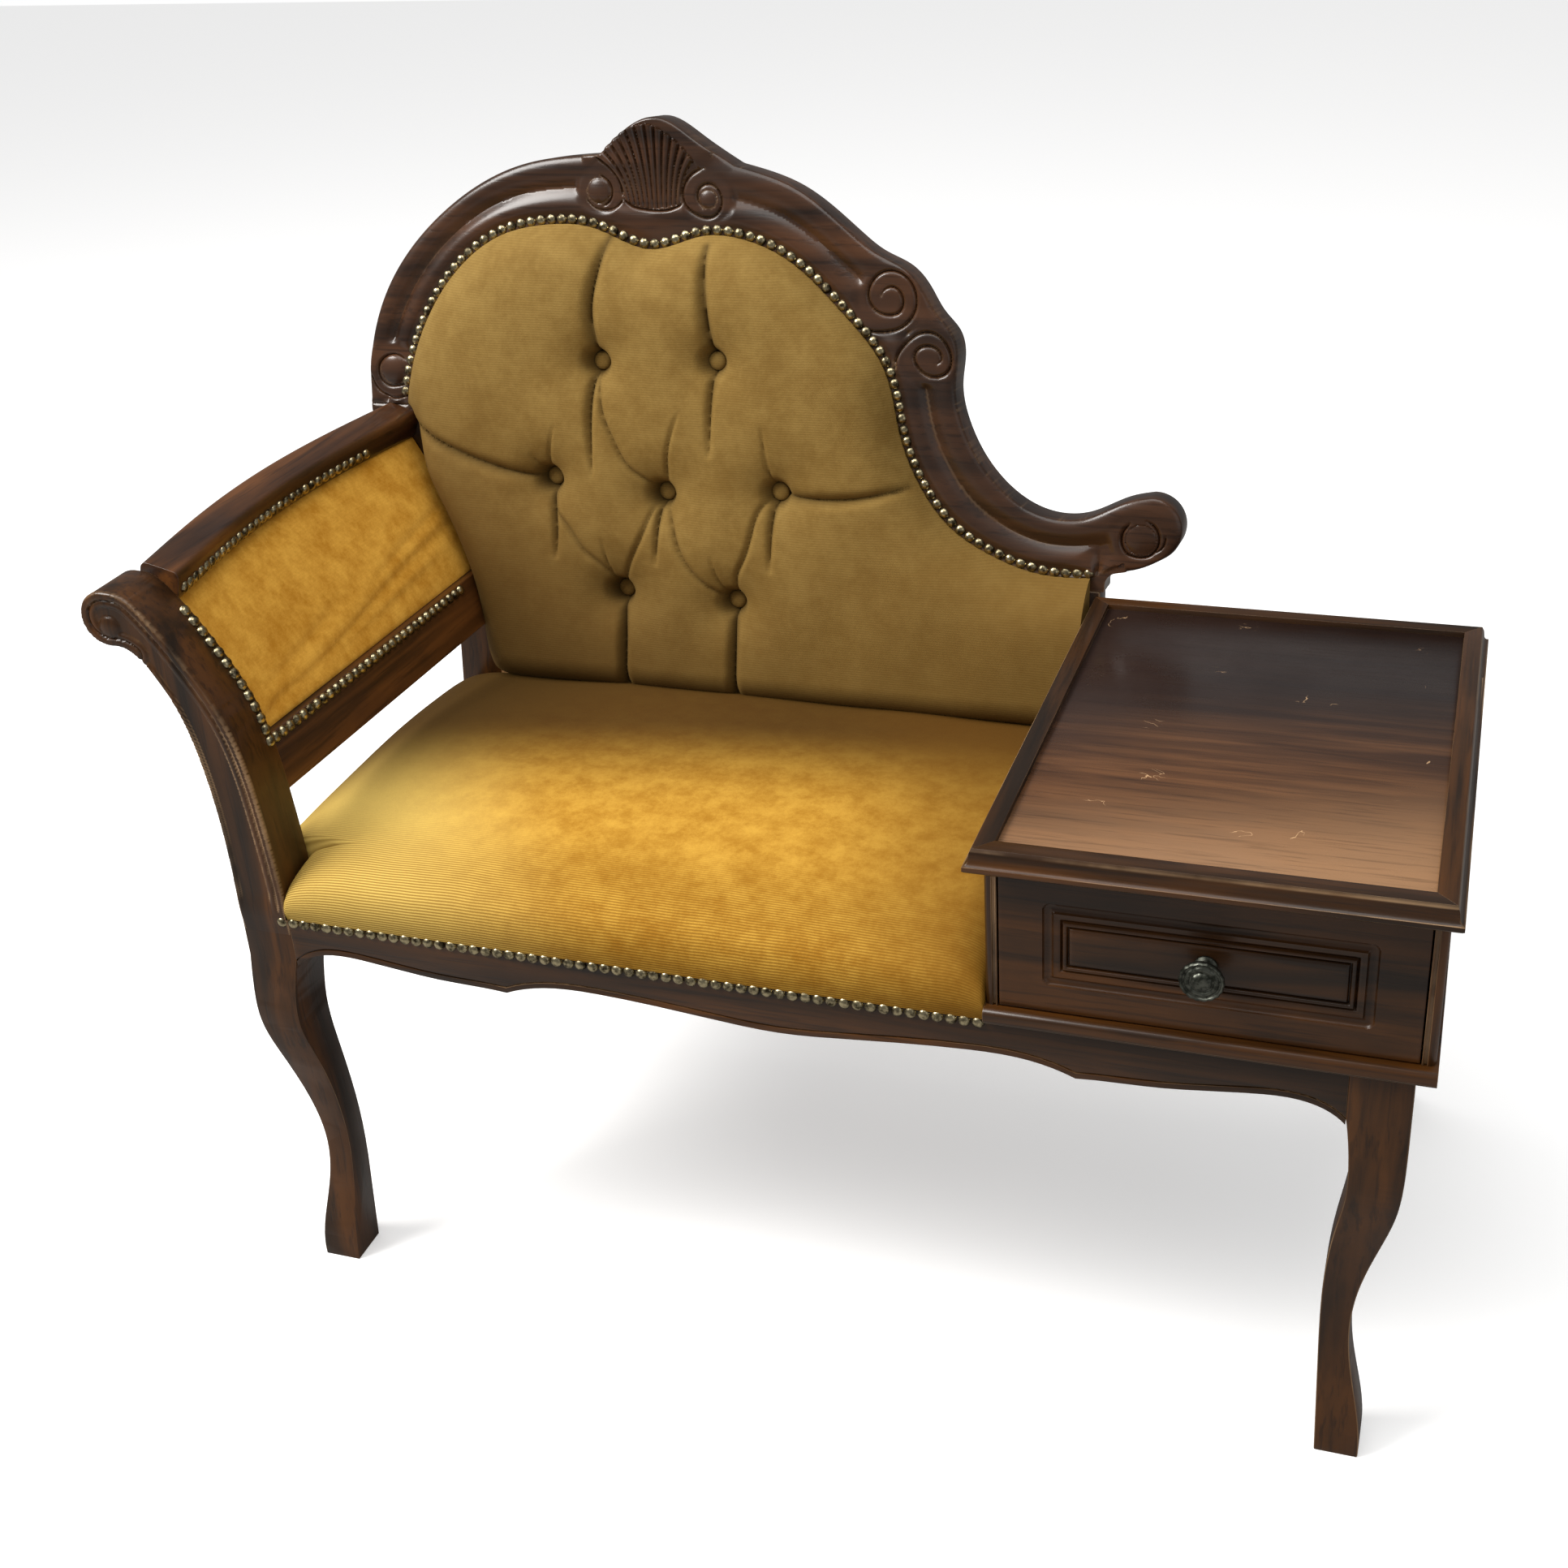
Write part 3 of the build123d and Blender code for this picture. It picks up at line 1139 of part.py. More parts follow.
# ---------------------------------------------------------------- build
def build():
    frame = frame_pieces()
    parts = {
        "front_leg_left": front_leg_left(),
        "front_leg_right": front_leg_right(),
        "rear_post_left": rear_post_left(),
        "rear_leg_right": rear_leg_right(),
        "front_rail": front_rail(),
        "side_rail_left": side_rail_left(),
        "side_rail_right": side_rail_right(),
        "rear_rail": rear_rail(),
        "middle_rail": middle_rail(),
        "corner_blocks": corner_blocks(),
        "crest_left": frame["crest_left"],
        "crest_segment": frame["crest_segment"],
        "crest_right": frame["crest_right"],
        "back_ramp": frame["back_ramp"],
        "shell_carving": shell_carving(),
        "inner_post": inner_post(),
        "back_lower_rail": back_lower_rail(),
        "back_board": back_board(),
        "outside_back": outside_back(),
        "back_cushion": back_cushion(),
        "back_buttons": back_buttons(),
        "seat_board": seat_board(),
        "seat_cushion": seat_cushion(),
        "arm_top_rail": arm_top_rail(),
        "arm_lower_rail": arm_lower_rail(),
        "arm_pad": arm_pad(),
        "cabinet_side_left": cabinet_side_left(),
        "cabinet_side_right": cabinet_side_right(),
        "corner_beads": corner_beads(),
        "cabinet_back": cabinet_back(),
        "cabinet_foot": cabinet_foot(),
        "bed_board": bed_board(),
        "top_panel": top_panel(),
        "drawer_runners": drawer_runners(),
        "drawer_front": drawer_front(),
        "drawer_side_left": drawer_side_left(),
        "drawer_side_right": drawer_side_right(),
        "drawer_rear": drawer_rear(),
        "drawer_bottom": drawer_bottom(),
        "drawer_knob": drawer_knob(),
        "knob_screw": knob_screw(),
        "seat_nails": seat_nails(),
        "back_nails": back_nails(),
        "arm_nails": arm_nails(),
    }
    parts.update(top_edges())
    return parts


def as_compound(shape):
    if isinstance(shape, list):
        return Compound(children=[s.solids()[0] for s in shape])
    return shape


def centred(parts):
    """Moves the origin to the middle of the footprint, on the floor."""
    shapes = {name: as_compound(shape) for name, shape in parts.items()}
    boxes = [shape.bounding_box() for shape in shapes.values()]
    x = (min(b.min.X for b in boxes) + max(b.max.X for b in boxes)) / 2
    y = (min(b.min.Y for b in boxes) + max(b.max.Y for b in boxes)) / 2
    z = min(b.min.Z for b in boxes)
    shift = Vector(-x, -y, -z)
    return {name: Pos(shift) * shape for name, shape in shapes.items()}, shift


PARTS, SHIFT = centred(build())
os.makedirs("parts", exist_ok=True)
for name, shape in PARTS.items():
    export_step(shape, f"parts/{name}.step")
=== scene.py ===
"""Looks of an upholstered telephone bench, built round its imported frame.

Sizes are in millimetres in the bench's own frame (X from the middle of the seat rail, Y back from the lip of
the table, Z up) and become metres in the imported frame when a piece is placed. Points of the leaning back are
given on its plane: x, and w up the slope.
"""

import json
import logging
import math
from collections.abc import Callable
from dataclasses import dataclass, field
from enum import Enum

import bpy
import numpy as np
from mathutils import Matrix, Vector
from mathutils.geometry import delaunay_2d_cdt
from mathutils.kdtree import KDTree

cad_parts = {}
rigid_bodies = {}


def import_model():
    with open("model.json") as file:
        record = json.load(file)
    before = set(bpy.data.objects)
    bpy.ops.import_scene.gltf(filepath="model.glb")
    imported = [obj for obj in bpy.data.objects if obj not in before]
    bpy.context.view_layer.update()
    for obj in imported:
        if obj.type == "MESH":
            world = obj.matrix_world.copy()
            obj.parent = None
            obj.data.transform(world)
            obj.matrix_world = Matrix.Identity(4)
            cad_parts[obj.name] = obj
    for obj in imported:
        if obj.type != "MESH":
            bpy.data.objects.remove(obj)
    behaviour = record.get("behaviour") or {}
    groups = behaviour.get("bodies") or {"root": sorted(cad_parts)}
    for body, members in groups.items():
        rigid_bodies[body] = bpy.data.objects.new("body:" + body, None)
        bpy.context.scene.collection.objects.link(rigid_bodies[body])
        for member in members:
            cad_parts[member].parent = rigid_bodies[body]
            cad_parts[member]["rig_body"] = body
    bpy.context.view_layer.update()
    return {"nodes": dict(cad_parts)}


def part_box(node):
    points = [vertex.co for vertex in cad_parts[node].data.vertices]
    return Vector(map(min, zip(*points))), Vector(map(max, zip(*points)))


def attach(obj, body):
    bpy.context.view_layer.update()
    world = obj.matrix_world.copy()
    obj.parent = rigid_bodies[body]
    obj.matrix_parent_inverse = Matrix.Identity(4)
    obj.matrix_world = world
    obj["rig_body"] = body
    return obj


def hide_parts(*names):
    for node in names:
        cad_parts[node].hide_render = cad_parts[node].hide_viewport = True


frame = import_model()

logging.basicConfig(level=logging.INFO, format="%(message)s")
log = logging.getLogger("bench")

MM = 0.001
FAR = 1e9
RAKE = math.radians(8.0)
RAIL_TOP = 373.0
FRAME_FRONT = 27.0
RAKE_START = 3.0  # height over the rails where the back starts to lean
BACK_FRONT = 446.0
BACK_T = 30.0
MERGE = 1e-5
COPLANAR = math.radians(0.8)
SQUARE_ON = 0.999  # cosine from which a face counts as square to a direction
WIDE_FACE = 0.003  # a vertex on a face wider than this, in metres, isn't worn
LEAST_TURN, TURN_SPAN = 0.03, 0.05  # 1 minus the cosine of a turn: where wear starts, and its rise
ROW_PITCH = 0.866  # rows of a honeycomb, as a share of its cell
Points = list[tuple[float, float]]


class Grain(Enum):
    """Direction that the grain of a wooden piece runs."""

    ACROSS = "x"
    DEEP = "y"
    UPRIGHT = "z"


# ---------------------------------------------------------------- places and lines
def frame_shift() -> Vector:
    """Offset from the bench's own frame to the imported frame, in metres.

    Returns:
        The offset, taken from the apron's box.
    """
    low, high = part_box("front_rail")
    return Vector(((low.x + high.x) / 2, low.y - FRAME_FRONT * MM, 0.0))


SHIFT = frame_shift()


def place(points: np.ndarray) -> np.ndarray:
    """Bench millimetres to packed metres.

    Args:
        points: Rows of x, y, z in millimetres.

    Returns:
        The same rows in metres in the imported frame.
    """
    return np.asarray(points, float) * MM + np.array(SHIFT)


def raked(points: np.ndarray) -> np.ndarray:
    """Points of the leaning back to bench millimetres.

    Args:
        points: Rows of x, distance up the slope, and height in front of the back's plane.

    Returns:
        Rows of x, y, z in bench millimetres.
    """
    p = np.asarray(points, float)
    sin, cos = math.sin(RAKE), math.cos(RAKE)
    y = BACK_FRONT + RAKE_START * math.tan(RAKE) + p[:, 1] * sin - p[:, 2] * cos
    z = RAIL_TOP + RAKE_START + p[:, 1] * cos + p[:, 2] * sin
    return np.column_stack([p[:, 0], y, z])


def run(line: np.ndarray) -> np.ndarray:
    """Length of a line up to each of its points."""
    return np.concatenate([[0], np.cumsum(np.linalg.norm(np.diff(line, axis=0), axis=1))])


def closed(loop: np.ndarray) -> np.ndarray:
    """Outline with its first point once more at its end."""
    return np.vstack([loop, loop[:1]])


def smooth_line(points: Points, count: int) -> np.ndarray:
    """Natural cubic through points, spread by their distances.

    Args:
        points: Points of any dimension.
        count: Number of points wanted.

    Returns:
        Rows along the line, ends included.
    """
    p = np.asarray(points, float)
    t = run(p)
    n = len(p)
    gap = np.diff(t)
    a = np.zeros((n, n))
    b = np.zeros((n, p.shape[1]))
    a[0, 0] = a[-1, -1] = 1.0
    for i in range(1, n - 1):
        a[i, i - 1 : i + 2] = gap[i - 1], 2 * (gap[i - 1] + gap[i]), gap[i]
        b[i] = 6 * ((p[i + 1] - p[i]) / gap[i] - (p[i] - p[i - 1]) / gap[i - 1])
    m = np.linalg.solve(a, b)
    s = np.linspace(0, t[-1], count)
    k = np.clip(np.searchsorted(t, s, side="right") - 1, 0, n - 2)
    h = gap[k][:, None]
    u = (s - t[k])[:, None]
    v = h - u
    bent = (m[k] * v**3 + m[k + 1] * u**3) / (6 * h)
    return bent + (p[k] / h - m[k] * h / 6) * v + (p[k + 1] / h - m[k + 1] * h / 6) * u


def even(line: np.ndarray, pitch: float) -> np.ndarray:
    """Points at an even pitch along a line.

    Args:
        line: Rows of points.
        pitch: Wanted distance between them.

    Returns:
        Rows of points, ends included.
    """
    t = run(line)
    s = np.linspace(0, t[-1], max(2, round(t[-1] / pitch) + 1))
    return np.column_stack([np.interp(s, t, line[:, i]) for i in range(line.shape[1])])


def beside(line: np.ndarray, distance: float) -> np.ndarray:
    """Line moved sideways in its own plane, to the right of its direction."""
    d = np.gradient(line, axis=0)
    d /= np.linalg.norm(d, axis=1)[:, None]
    return line + distance * np.column_stack([d[:, 1], -d[:, 0]])


def arc(start: tuple, middle: tuple, end: tuple, count: int) -> np.ndarray:
    """Circle's arc through three points in a plane.

    Args:
        start: First point.
        middle: A point on the way.
        end: Last point.
        count: Number of points.

    Returns:
        Rows along the arc, ends included.
    """
    (ax, ay), (bx, by), (cx, cy) = start, middle, end
    d = 2 * (ax * (by - cy) + bx * (cy - ay) + cx * (ay - by))
    a, b, c = ax**2 + ay**2, bx**2 + by**2, cx**2 + cy**2
    ux = (a * (by - cy) + b * (cy - ay) + c * (ay - by)) / d
    uy = (a * (cx - bx) + b * (ax - cx) + c * (bx - ax)) / d
    r = math.hypot(ax - ux, ay - uy)
    t0, t1, t2 = (math.atan2(y - uy, x - ux) for x, y in (start, middle, end))
    way = (t2 - t0) % (2 * math.pi)
    if (t1 - t0) % (2 * math.pi) > way:
        way -= 2 * math.pi
    t = t0 + np.linspace(0, way, count)
    return np.column_stack([ux + r * np.cos(t), uy + r * np.sin(t)])


def nearest(
    points: np.ndarray, line: np.ndarray, reach: float = math.inf
) -> tuple[np.ndarray, np.ndarray, np.ndarray]:
    """Nearest place on a drawn line.

    Args:
        points: Rows of plane points.
        line: Rows of the line's points.
        reach: Points further than this from the line's box are left out, and count as far away.

    Returns:
        For each point its distance, its foot on the line, and the foot's share of the line's length.
    """
    length = run(line)
    close = np.flatnonzero(np.all((points > line.min(0) - reach) & (points < line.max(0) + reach), axis=1))
    asked = points[close]
    best = np.full(len(asked), FAR)
    foot = asked.astype(float)
    along = np.zeros(len(asked))
    for i, (a, b) in enumerate(zip(line[:-1], line[1:])):
        d = b - a
        t = np.clip(((asked - a) @ d) / max(d @ d, 1e-12), 0, 1)
        at = a + t[:, None] * d
        away = np.hypot(*(asked - at).T)
        closer = away < best
        best[closer] = away[closer]
        foot[closer] = at[closer]
        along[closer] = (length[i] + t * (length[i + 1] - length[i]))[closer]
    every, feet, shares = np.full(len(points), FAR), points.astype(float), np.zeros(len(points))
    every[close], feet[close], shares[close] = best, foot, along / length[-1]
    return every, feet, shares


def distance(points: np.ndarray, line: np.ndarray) -> np.ndarray:
    """Distance from each point to a drawn line."""
    return nearest(points, line)[0]


def inside(points: np.ndarray, loop: np.ndarray) -> np.ndarray:
    """Says which points lie inside a closed outline."""
    x, y = points.T
    odd = np.zeros(len(points), bool)
    for (ax, ay), (bx, by) in zip(loop, np.roll(loop, -1, axis=0)):
        if ay != by:
            odd ^= ((ay > y) != (by > y)) & (x < (bx - ax) * (y - ay) / (by - ay) + ax)
    return odd


def honeycomb(loop: np.ndarray, cell: float) -> np.ndarray:
    """Staggered points that fill an outline.

    Args:
        loop: The closed outline.
        cell: Distance between points.

    Returns:
        Rows of points inside the outline.
    """
    low, high = loop.min(0), loop.max(0)
    gx, gy = np.meshgrid(np.arange(low[0], high[0], cell), np.arange(low[1], high[1], cell * ROW_PITCH))
    gx[1::2] += cell / 2
    points = np.column_stack([gx.ravel(), gy.ravel()])
    return points[inside(points, loop)]


def hump(x: np.ndarray) -> np.ndarray:
    """Round hump: 0 at -1 and 1, and 1 in the middle."""
    return np.sqrt(np.clip(1 - x * x, 0, 1))


def step(x: np.ndarray, low: float, high: float) -> np.ndarray:
    """Smooth rise from 0 at low to 1 at high."""
    t = np.clip((x - low) / (high - low), 0, 1)
    return t * t * (3 - 2 * t)


def at_least(low: float, share: np.ndarray) -> np.ndarray:
    """Share of 0 to 1 raised to between a least value and 1."""
    return low + (1 - low) * share


def ripple(x: np.ndarray, y: np.ndarray, waves: tuple) -> np.ndarray:
    """Slow unevenness of stuffed cloth; a wave has a height and its lengths along x and y."""
    return sum(high * np.sin(x / along + y / across) for high, along, across in waves)


def quarter_round(rim: np.ndarray, radius: float) -> np.ndarray:
    """How far a rounded arris has fallen at each distance from the edge."""
    return radius * (1 - hump(np.clip(1 - rim / radius, 0, 1)))


# ---------------------------------------------------------------- mesh helpers
def deselect() -> None:
    """Nothing stays selected, so that an operator acts on one piece."""
    if bpy.context.object and bpy.context.object.mode != "OBJECT":
        bpy.ops.object.mode_set(mode="OBJECT")
    bpy.ops.object.select_all(action="DESELECT")


def pick(piece: bpy.types.Object) -> bpy.types.Object:
    """Makes one piece the selected and active one."""
    deselect()
    piece.select_set(True)
    bpy.context.view_layer.objects.active = piece
    return piece


def linked(name: str, data: bpy.types.ID) -> bpy.types.Object:
    """Puts a mesh, light or camera into the scene under a name."""
    piece = bpy.data.objects.new(name, data)
    bpy.context.scene.collection.objects.link(piece)
    return piece


def edit_all(piece: bpy.types.Object) -> None:
    """Opens a piece for editing, with all of it selected."""
    pick(piece)
    bpy.ops.object.mode_set(mode="EDIT")
    bpy.ops.mesh.select_all(action="SELECT")


def end_edit() -> None:
    """Closes the piece that is being edited."""
    bpy.ops.object.mode_set(mode="OBJECT")


def store(piece: bpy.types.Object, name: str, values: np.ndarray) -> None:
    """Stores one number per vertex under a name, for the materials."""
    layer = piece.data.attributes.get(name) or piece.data.attributes.new(name, "FLOAT", "POINT")
    layer.data.foreach_set("value", values.astype(np.float32))


def set_points(piece: bpy.types.Object, points: np.ndarray) -> None:
    """Writes the places of a mesh's vertices, in metres."""
    piece.data.vertices.foreach_set("co", np.asarray(points, np.float32).ravel())
    piece.data.update()


def get_points(piece: bpy.types.Object) -> np.ndarray:
    """Places of a mesh's vertices, in metres."""
    co = np.zeros(len(piece.data.vertices) * 3, np.float32)
    piece.data.vertices.foreach_get("co", co)
    return co.reshape(-1, 3).astype(float)


def apply_modifiers(piece: bpy.types.Object) -> None:
    """Applies every modifier on a piece."""
    pick(piece)
    for modifier in list(piece.modifiers):
        bpy.ops.object.modifier_apply(modifier=modifier.name)


def smooth(piece: bpy.types.Object, degrees: float = 35.0) -> None:
    """Smooth shading, with edges sharper than an angle kept."""
    pick(piece)
    bpy.ops.object.shade_smooth_by_angle(angle=math.radians(degrees))


def recalculated(piece: bpy.types.Object, merge: float = 1e-6) -> None:
    """Merges doubles and points the faces outwards."""
    edit_all(piece)
    bpy.ops.mesh.remove_doubles(threshold=merge)
    bpy.ops.mesh.normals_make_consistent(inside=False)
    end_edit()


def probe(node: str) -> bpy.types.Object:
    """Working copy of a CAD node, to be measured and removed."""
    copy = linked("probe", frame["nodes"][node].data.copy())
    recalculated(copy, MERGE)
    return pick(copy)


def grid(name: str, columns: int, rows: int) -> bpy.types.Object:
    """A plane of columns by rows faces, ready to be shaped.

    Args:
        name: Name of the piece.
        columns: Faces along the first direction.
        rows: Faces along the second direction.

    Returns:
        The new piece, whose vertices run column by column in each row.
    """
    deselect()
    bpy.ops.mesh.primitive_grid_add(x_subdivisions=columns, y_subdivisions=rows, size=1.0)
    piece = bpy.context.object
    piece.name = name
    piece.data.name = name
    return piece


def close_below(piece: bpy.types.Object, drop: Callable) -> None:
    """Extrudes the open border and closes it with a face.

    Args:
        piece: An open sheet.
        drop: Function from the border's places to the places below them, both in metres.
    """
    pick(piece)
    bpy.ops.object.mode_set(mode="EDIT")
    bpy.ops.mesh.select_mode(type="EDGE")
    bpy.ops.mesh.select_all(action="DESELECT")
    bpy.ops.mesh.select_non_manifold(
        extend=False, use_wire=False, use_multi_face=False, use_non_contiguous=False, use_verts=False
    )
    bpy.ops.mesh.extrude_edges_move()
    end_edit()
    chosen = np.array([v.select for v in piece.data.vertices])
    co = get_points(piece)
    co[chosen] = drop(co[chosen])
    set_points(piece, co)
    bpy.ops.object.mode_set(mode="EDIT")
    bpy.ops.mesh.edge_face_add()
    end_edit()
    recalculated(piece)


def from_mesh(name: str, vertices: np.ndarray, faces: list) -> bpy.types.Object:
    """A piece from places and faces, for shapes that no operator makes.

    Args:
        name: Name of the piece.
        vertices: Rows of places in metres.
        faces: Lists of vertex numbers.

    Returns:
        The linked piece.
    """
    mesh = bpy.data.meshes.new(name)
    mesh.from_pydata([tuple(v) for v in vertices], [], [tuple(f) for f in faces])
    mesh.update()
    return linked(name, mesh)


def joined(pieces: list, name: str) -> bpy.types.Object:
    """Joins pieces into one mesh."""
    deselect()
    for piece in pieces:
        piece.select_set(True)
    bpy.context.view_layer.objects.active = pieces[0]
    if len(pieces) > 1:
        bpy.ops.object.join()
    pieces[0].name = name
    pieces[0].data.name = name
    return pieces[0]


def copies(model: bpy.types.Object, places: list, name: str) -> bpy.types.Object:
    """Copies a small shape to many places in one mesh.

    Args:
        model: Shape at the origin, standing on +Z. It is removed.
        places: One matrix per copy.
        name: Name of the joined piece.

    Returns:
        The piece with all copies.
    """
    made = []
    for matrix in places:
        one = linked(name, model.data.copy())
        one.data.transform(matrix)
        made.append(one)
    bpy.data.objects.remove(model)
    return joined(made, name)


def standing(at: np.ndarray, outward: np.ndarray, turn: float = 0.0) -> Matrix:
    """Matrix that stands a shape at a place.

    Args:
        at: Place in metres.
        outward: Direction of the shape's +Z.
        turn: Turn about that direction, in radians.

    Returns:
        The matrix.
    """
    rotation = Vector(outward).to_track_quat("Z", "Y").to_matrix().to_4x4()
    return Matrix.Translation(Vector(at)) @ rotation @ Matrix.Rotation(turn, 4, "Z")


def mark_arrises(piece: bpy.types.Object) -> None:
    """Stores how sharply a piece turns at each vertex that touches no wide face, for worn edges.

    Args:
        piece: The piece, which gets the attribute "arris" with values from 0 to 1.
    """
    mesh = piece.data
    count = len(mesh.polygons)
    normals, areas = np.zeros(count * 3, np.float32), np.zeros(count, np.float32)
    starts, totals = np.zeros(count, np.int32), np.zeros(count, np.int32)
    corners = np.zeros(len(mesh.loops), np.int32)
    mesh.polygons.foreach_get("normal", normals)
    mesh.polygons.foreach_get("area", areas)
    mesh.polygons.foreach_get("loop_start", starts)
    mesh.polygons.foreach_get("loop_total", totals)
    mesh.loops.foreach_get("vertex_index", corners)
    normals = normals.reshape(-1, 3)
    total = np.zeros((len(mesh.vertices), 3))
    owner = np.repeat(np.arange(count), totals)
    following = np.arange(len(corners)) + 1
    following[starts + totals - 1] = starts
    co = get_points(piece)
    sides = np.linalg.norm(co[corners] - co[corners[following]], axis=1)
    width = 2 * areas / np.maximum(np.add.reduceat(sides, starts), 1e-9)
    widest = np.zeros(len(co))
    np.maximum.at(widest, corners, width[owner])
    np.add.at(total, corners, normals[owner])
    total /= np.maximum(np.linalg.norm(total, axis=1), 1e-9)[:, None]
    turn = np.zeros(len(mesh.vertices))
    np.maximum.at(turn, corners, 1 - np.einsum("ij,ij->i", total[corners], normals[owner]))
    value = np.clip((turn - LEAST_TURN) / TURN_SPAN, 0, 1)
    value[widest > WIDE_FACE] = 0.0
    store(piece, "arris", value)


def softened(node: str, width: float, segments: int = 2, angle: float = 28.0) -> bpy.types.Object:
    """Copy of a sawn node with rounded arrises, which stands for it.

    Args:
        node: The CAD node.
        width: Width of the rounding in millimetres.
        segments: Steps of the rounding.
        angle: Edges sharper than this many degrees are rounded.

    Returns:
        The piece, riding on the node's body.
    """
    source = frame["nodes"][node]
    piece = linked(f"{node}_dressed", source.data.copy())
    piece.data.materials.clear()
    edit_all(piece)
    bpy.ops.mesh.remove_doubles(threshold=MERGE)
    bpy.ops.mesh.dissolve_limited(angle_limit=COPLANAR)
    end_edit()
    bevel = piece.modifiers.new("arris", "BEVEL")
    bevel.width = width * MM
    bevel.segments = segments
    bevel.limit_method = "ANGLE"
    bevel.angle_limit = math.radians(angle)
    apply_modifiers(piece)
    mark_arrises(piece)
    smooth(piece, 32)
    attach(piece, source["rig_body"])
    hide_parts(node)
    log.info("softened %s: %d faces", node, len(piece.data.polygons))
    return piece


def flat_on_rake(co: np.ndarray) -> np.ndarray:
    """Packed metres to x and distance up the leaning plane, in millimetres."""
    p = (co - np.array(SHIFT)) / MM
    y, z = p[:, 1] - BACK_FRONT - RAKE_START * math.tan(RAKE), p[:, 2] - RAIL_TOP - RAKE_START
    return np.column_stack([p[:, 0], y * math.sin(RAKE) + z * math.cos(RAKE)])


def carved_sheet(
    name: str, loop: np.ndarray, points: np.ndarray, lift: Callable, onto: Callable, under: Callable
) -> bpy.types.Object:
    """Triangulates an outline, carves its face and closes it below.

    Args:
        name: Name of the piece.
        loop: Closed outline in the plane.
        points: Further points inside it.
        lift: Heights from plane points.
        onto: Metres from rows of plane point and height.
        under: Metres of the walls' foot from metres of the face's border.

    Returns:
        The closed piece.
    """
    every = np.vstack([loop, points])
    edges = [(i, (i + 1) % len(loop)) for i in range(len(loop))]
    inside_only, close = 1, 1e-4
    corners, _, faces, *_ = delaunay_2d_cdt(
        [Vector(p) for p in every], edges, [list(range(len(loop)))], inside_only, close
    )
    flat = np.array([tuple(v) for v in corners])
    piece = from_mesh(name, onto(np.column_stack([flat, lift(flat)])), faces)
    edit_all(piece)
    bpy.ops.mesh.delete_loose()
    end_edit()
    close_below(piece, under)
    mark_arrises(piece)
    smooth(piece, 55)
    return piece


# ---------------------------------------------------------------- shader groups
class Nodes:
    """Short hand for building a node tree."""

    def __init__(self, tree: bpy.types.NodeTree) -> None:
        """Keeps the tree."""
        self.tree = tree

    def add(self, kind: str, values: dict | None = None, **settings: object) -> bpy.types.Node:
        """Adds a node.

        Args:
            kind: Type of the node.
            values: Socket values, by name or number; a socket here is linked.
            settings: Properties of the node.

        Returns:
            The node.
        """
        node = self.tree.nodes.new(kind)
        for key, value in settings.items():
            setattr(node, key, value)
        for key, value in (values or {}).items():
            if isinstance(value, bpy.types.NodeSocket):
                self.tree.links.new(value, node.inputs[key])
            else:
                node.inputs[key].default_value = value
        return node

    def math(self, operation: str, a: object, b: object = 0.0, clamp: bool = False) -> bpy.types.NodeSocket:
        """One Math node; returns its output."""
        return self.add("ShaderNodeMath", {0: a, 1: b}, operation=operation, use_clamp=clamp).outputs[0]

    def ramp(self, factor: bpy.types.NodeSocket, low: float, high: float) -> bpy.types.NodeSocket:
        """Smooth step of a factor between two values."""
        values = {"Value": factor, "From Min": low, "From Max": high}
        return self.add("ShaderNodeMapRange", values, interpolation_type="SMOOTHSTEP").outputs["Result"]

    def noise(
        self,
        coords: bpy.types.NodeSocket,
        scale: float,
        detail: float,
        rough: float = 0.5,
        distort: float = 0.0,
    ) -> bpy.types.NodeSocket:
        """One Noise texture.

        Args:
            coords: Coordinates.
            scale: Cells per metre.
            detail: Octaves.
            rough: Share that each octave keeps.
            distort: How far the cells are bent.

        Returns:
            Its factor.
        """
        values = {"Vector": coords, "Scale": scale, "Detail": detail, "Roughness": rough}
        return self.add("ShaderNodeTexNoise", values | {"Distortion": distort}).outputs[0]

    def times(self, a: object, b: object) -> bpy.types.NodeSocket:
        """Product of two values."""
        return self.math("MULTIPLY", a, b)

    def mix(self, factor: object, a: object, b: object) -> bpy.types.NodeSocket:
        """Mix of two colours."""
        node = self.add("ShaderNodeMix", data_type="RGBA")
        for key, value in ((0, factor), (6, a), (7, b)):
            if isinstance(value, bpy.types.NodeSocket):
                self.tree.links.new(value, node.inputs[key])
            else:
                node.inputs[key].default_value = value
        return node.outputs[2]


def new_group(
    name: str, inputs: list, outputs: list
) -> tuple[bpy.types.NodeTree, Nodes, bpy.types.Node, bpy.types.Node]:
    """Empty shader group with named sockets.

    Args:
        name: Name of the group.
        inputs: Pairs of socket name and type.
        outputs: Pairs of socket name and type.

    Returns:
        The tree, its helper, its input node and its output node.
    """
    tree = bpy.data.node_groups.new(name, "ShaderNodeTree")
    for label, kind in inputs:
        tree.interface.new_socket(label, in_out="INPUT", socket_type=kind)
    for label, kind in outputs:
        tree.interface.new_socket(label, in_out="OUTPUT", socket_type=kind)
    nodes = Nodes(tree)
    return tree, nodes, nodes.add("NodeGroupInput"), nodes.add("NodeGroupOutput")


FLOAT, VECTOR = "NodeSocketFloat", "NodeSocketVector"
BROAD_GRAIN, FINE_GRAIN = (2.4, 34.0, 34.0), (9.0, 210.0, 210.0)
WOBBLE = 0.004  # metres that a rib strays


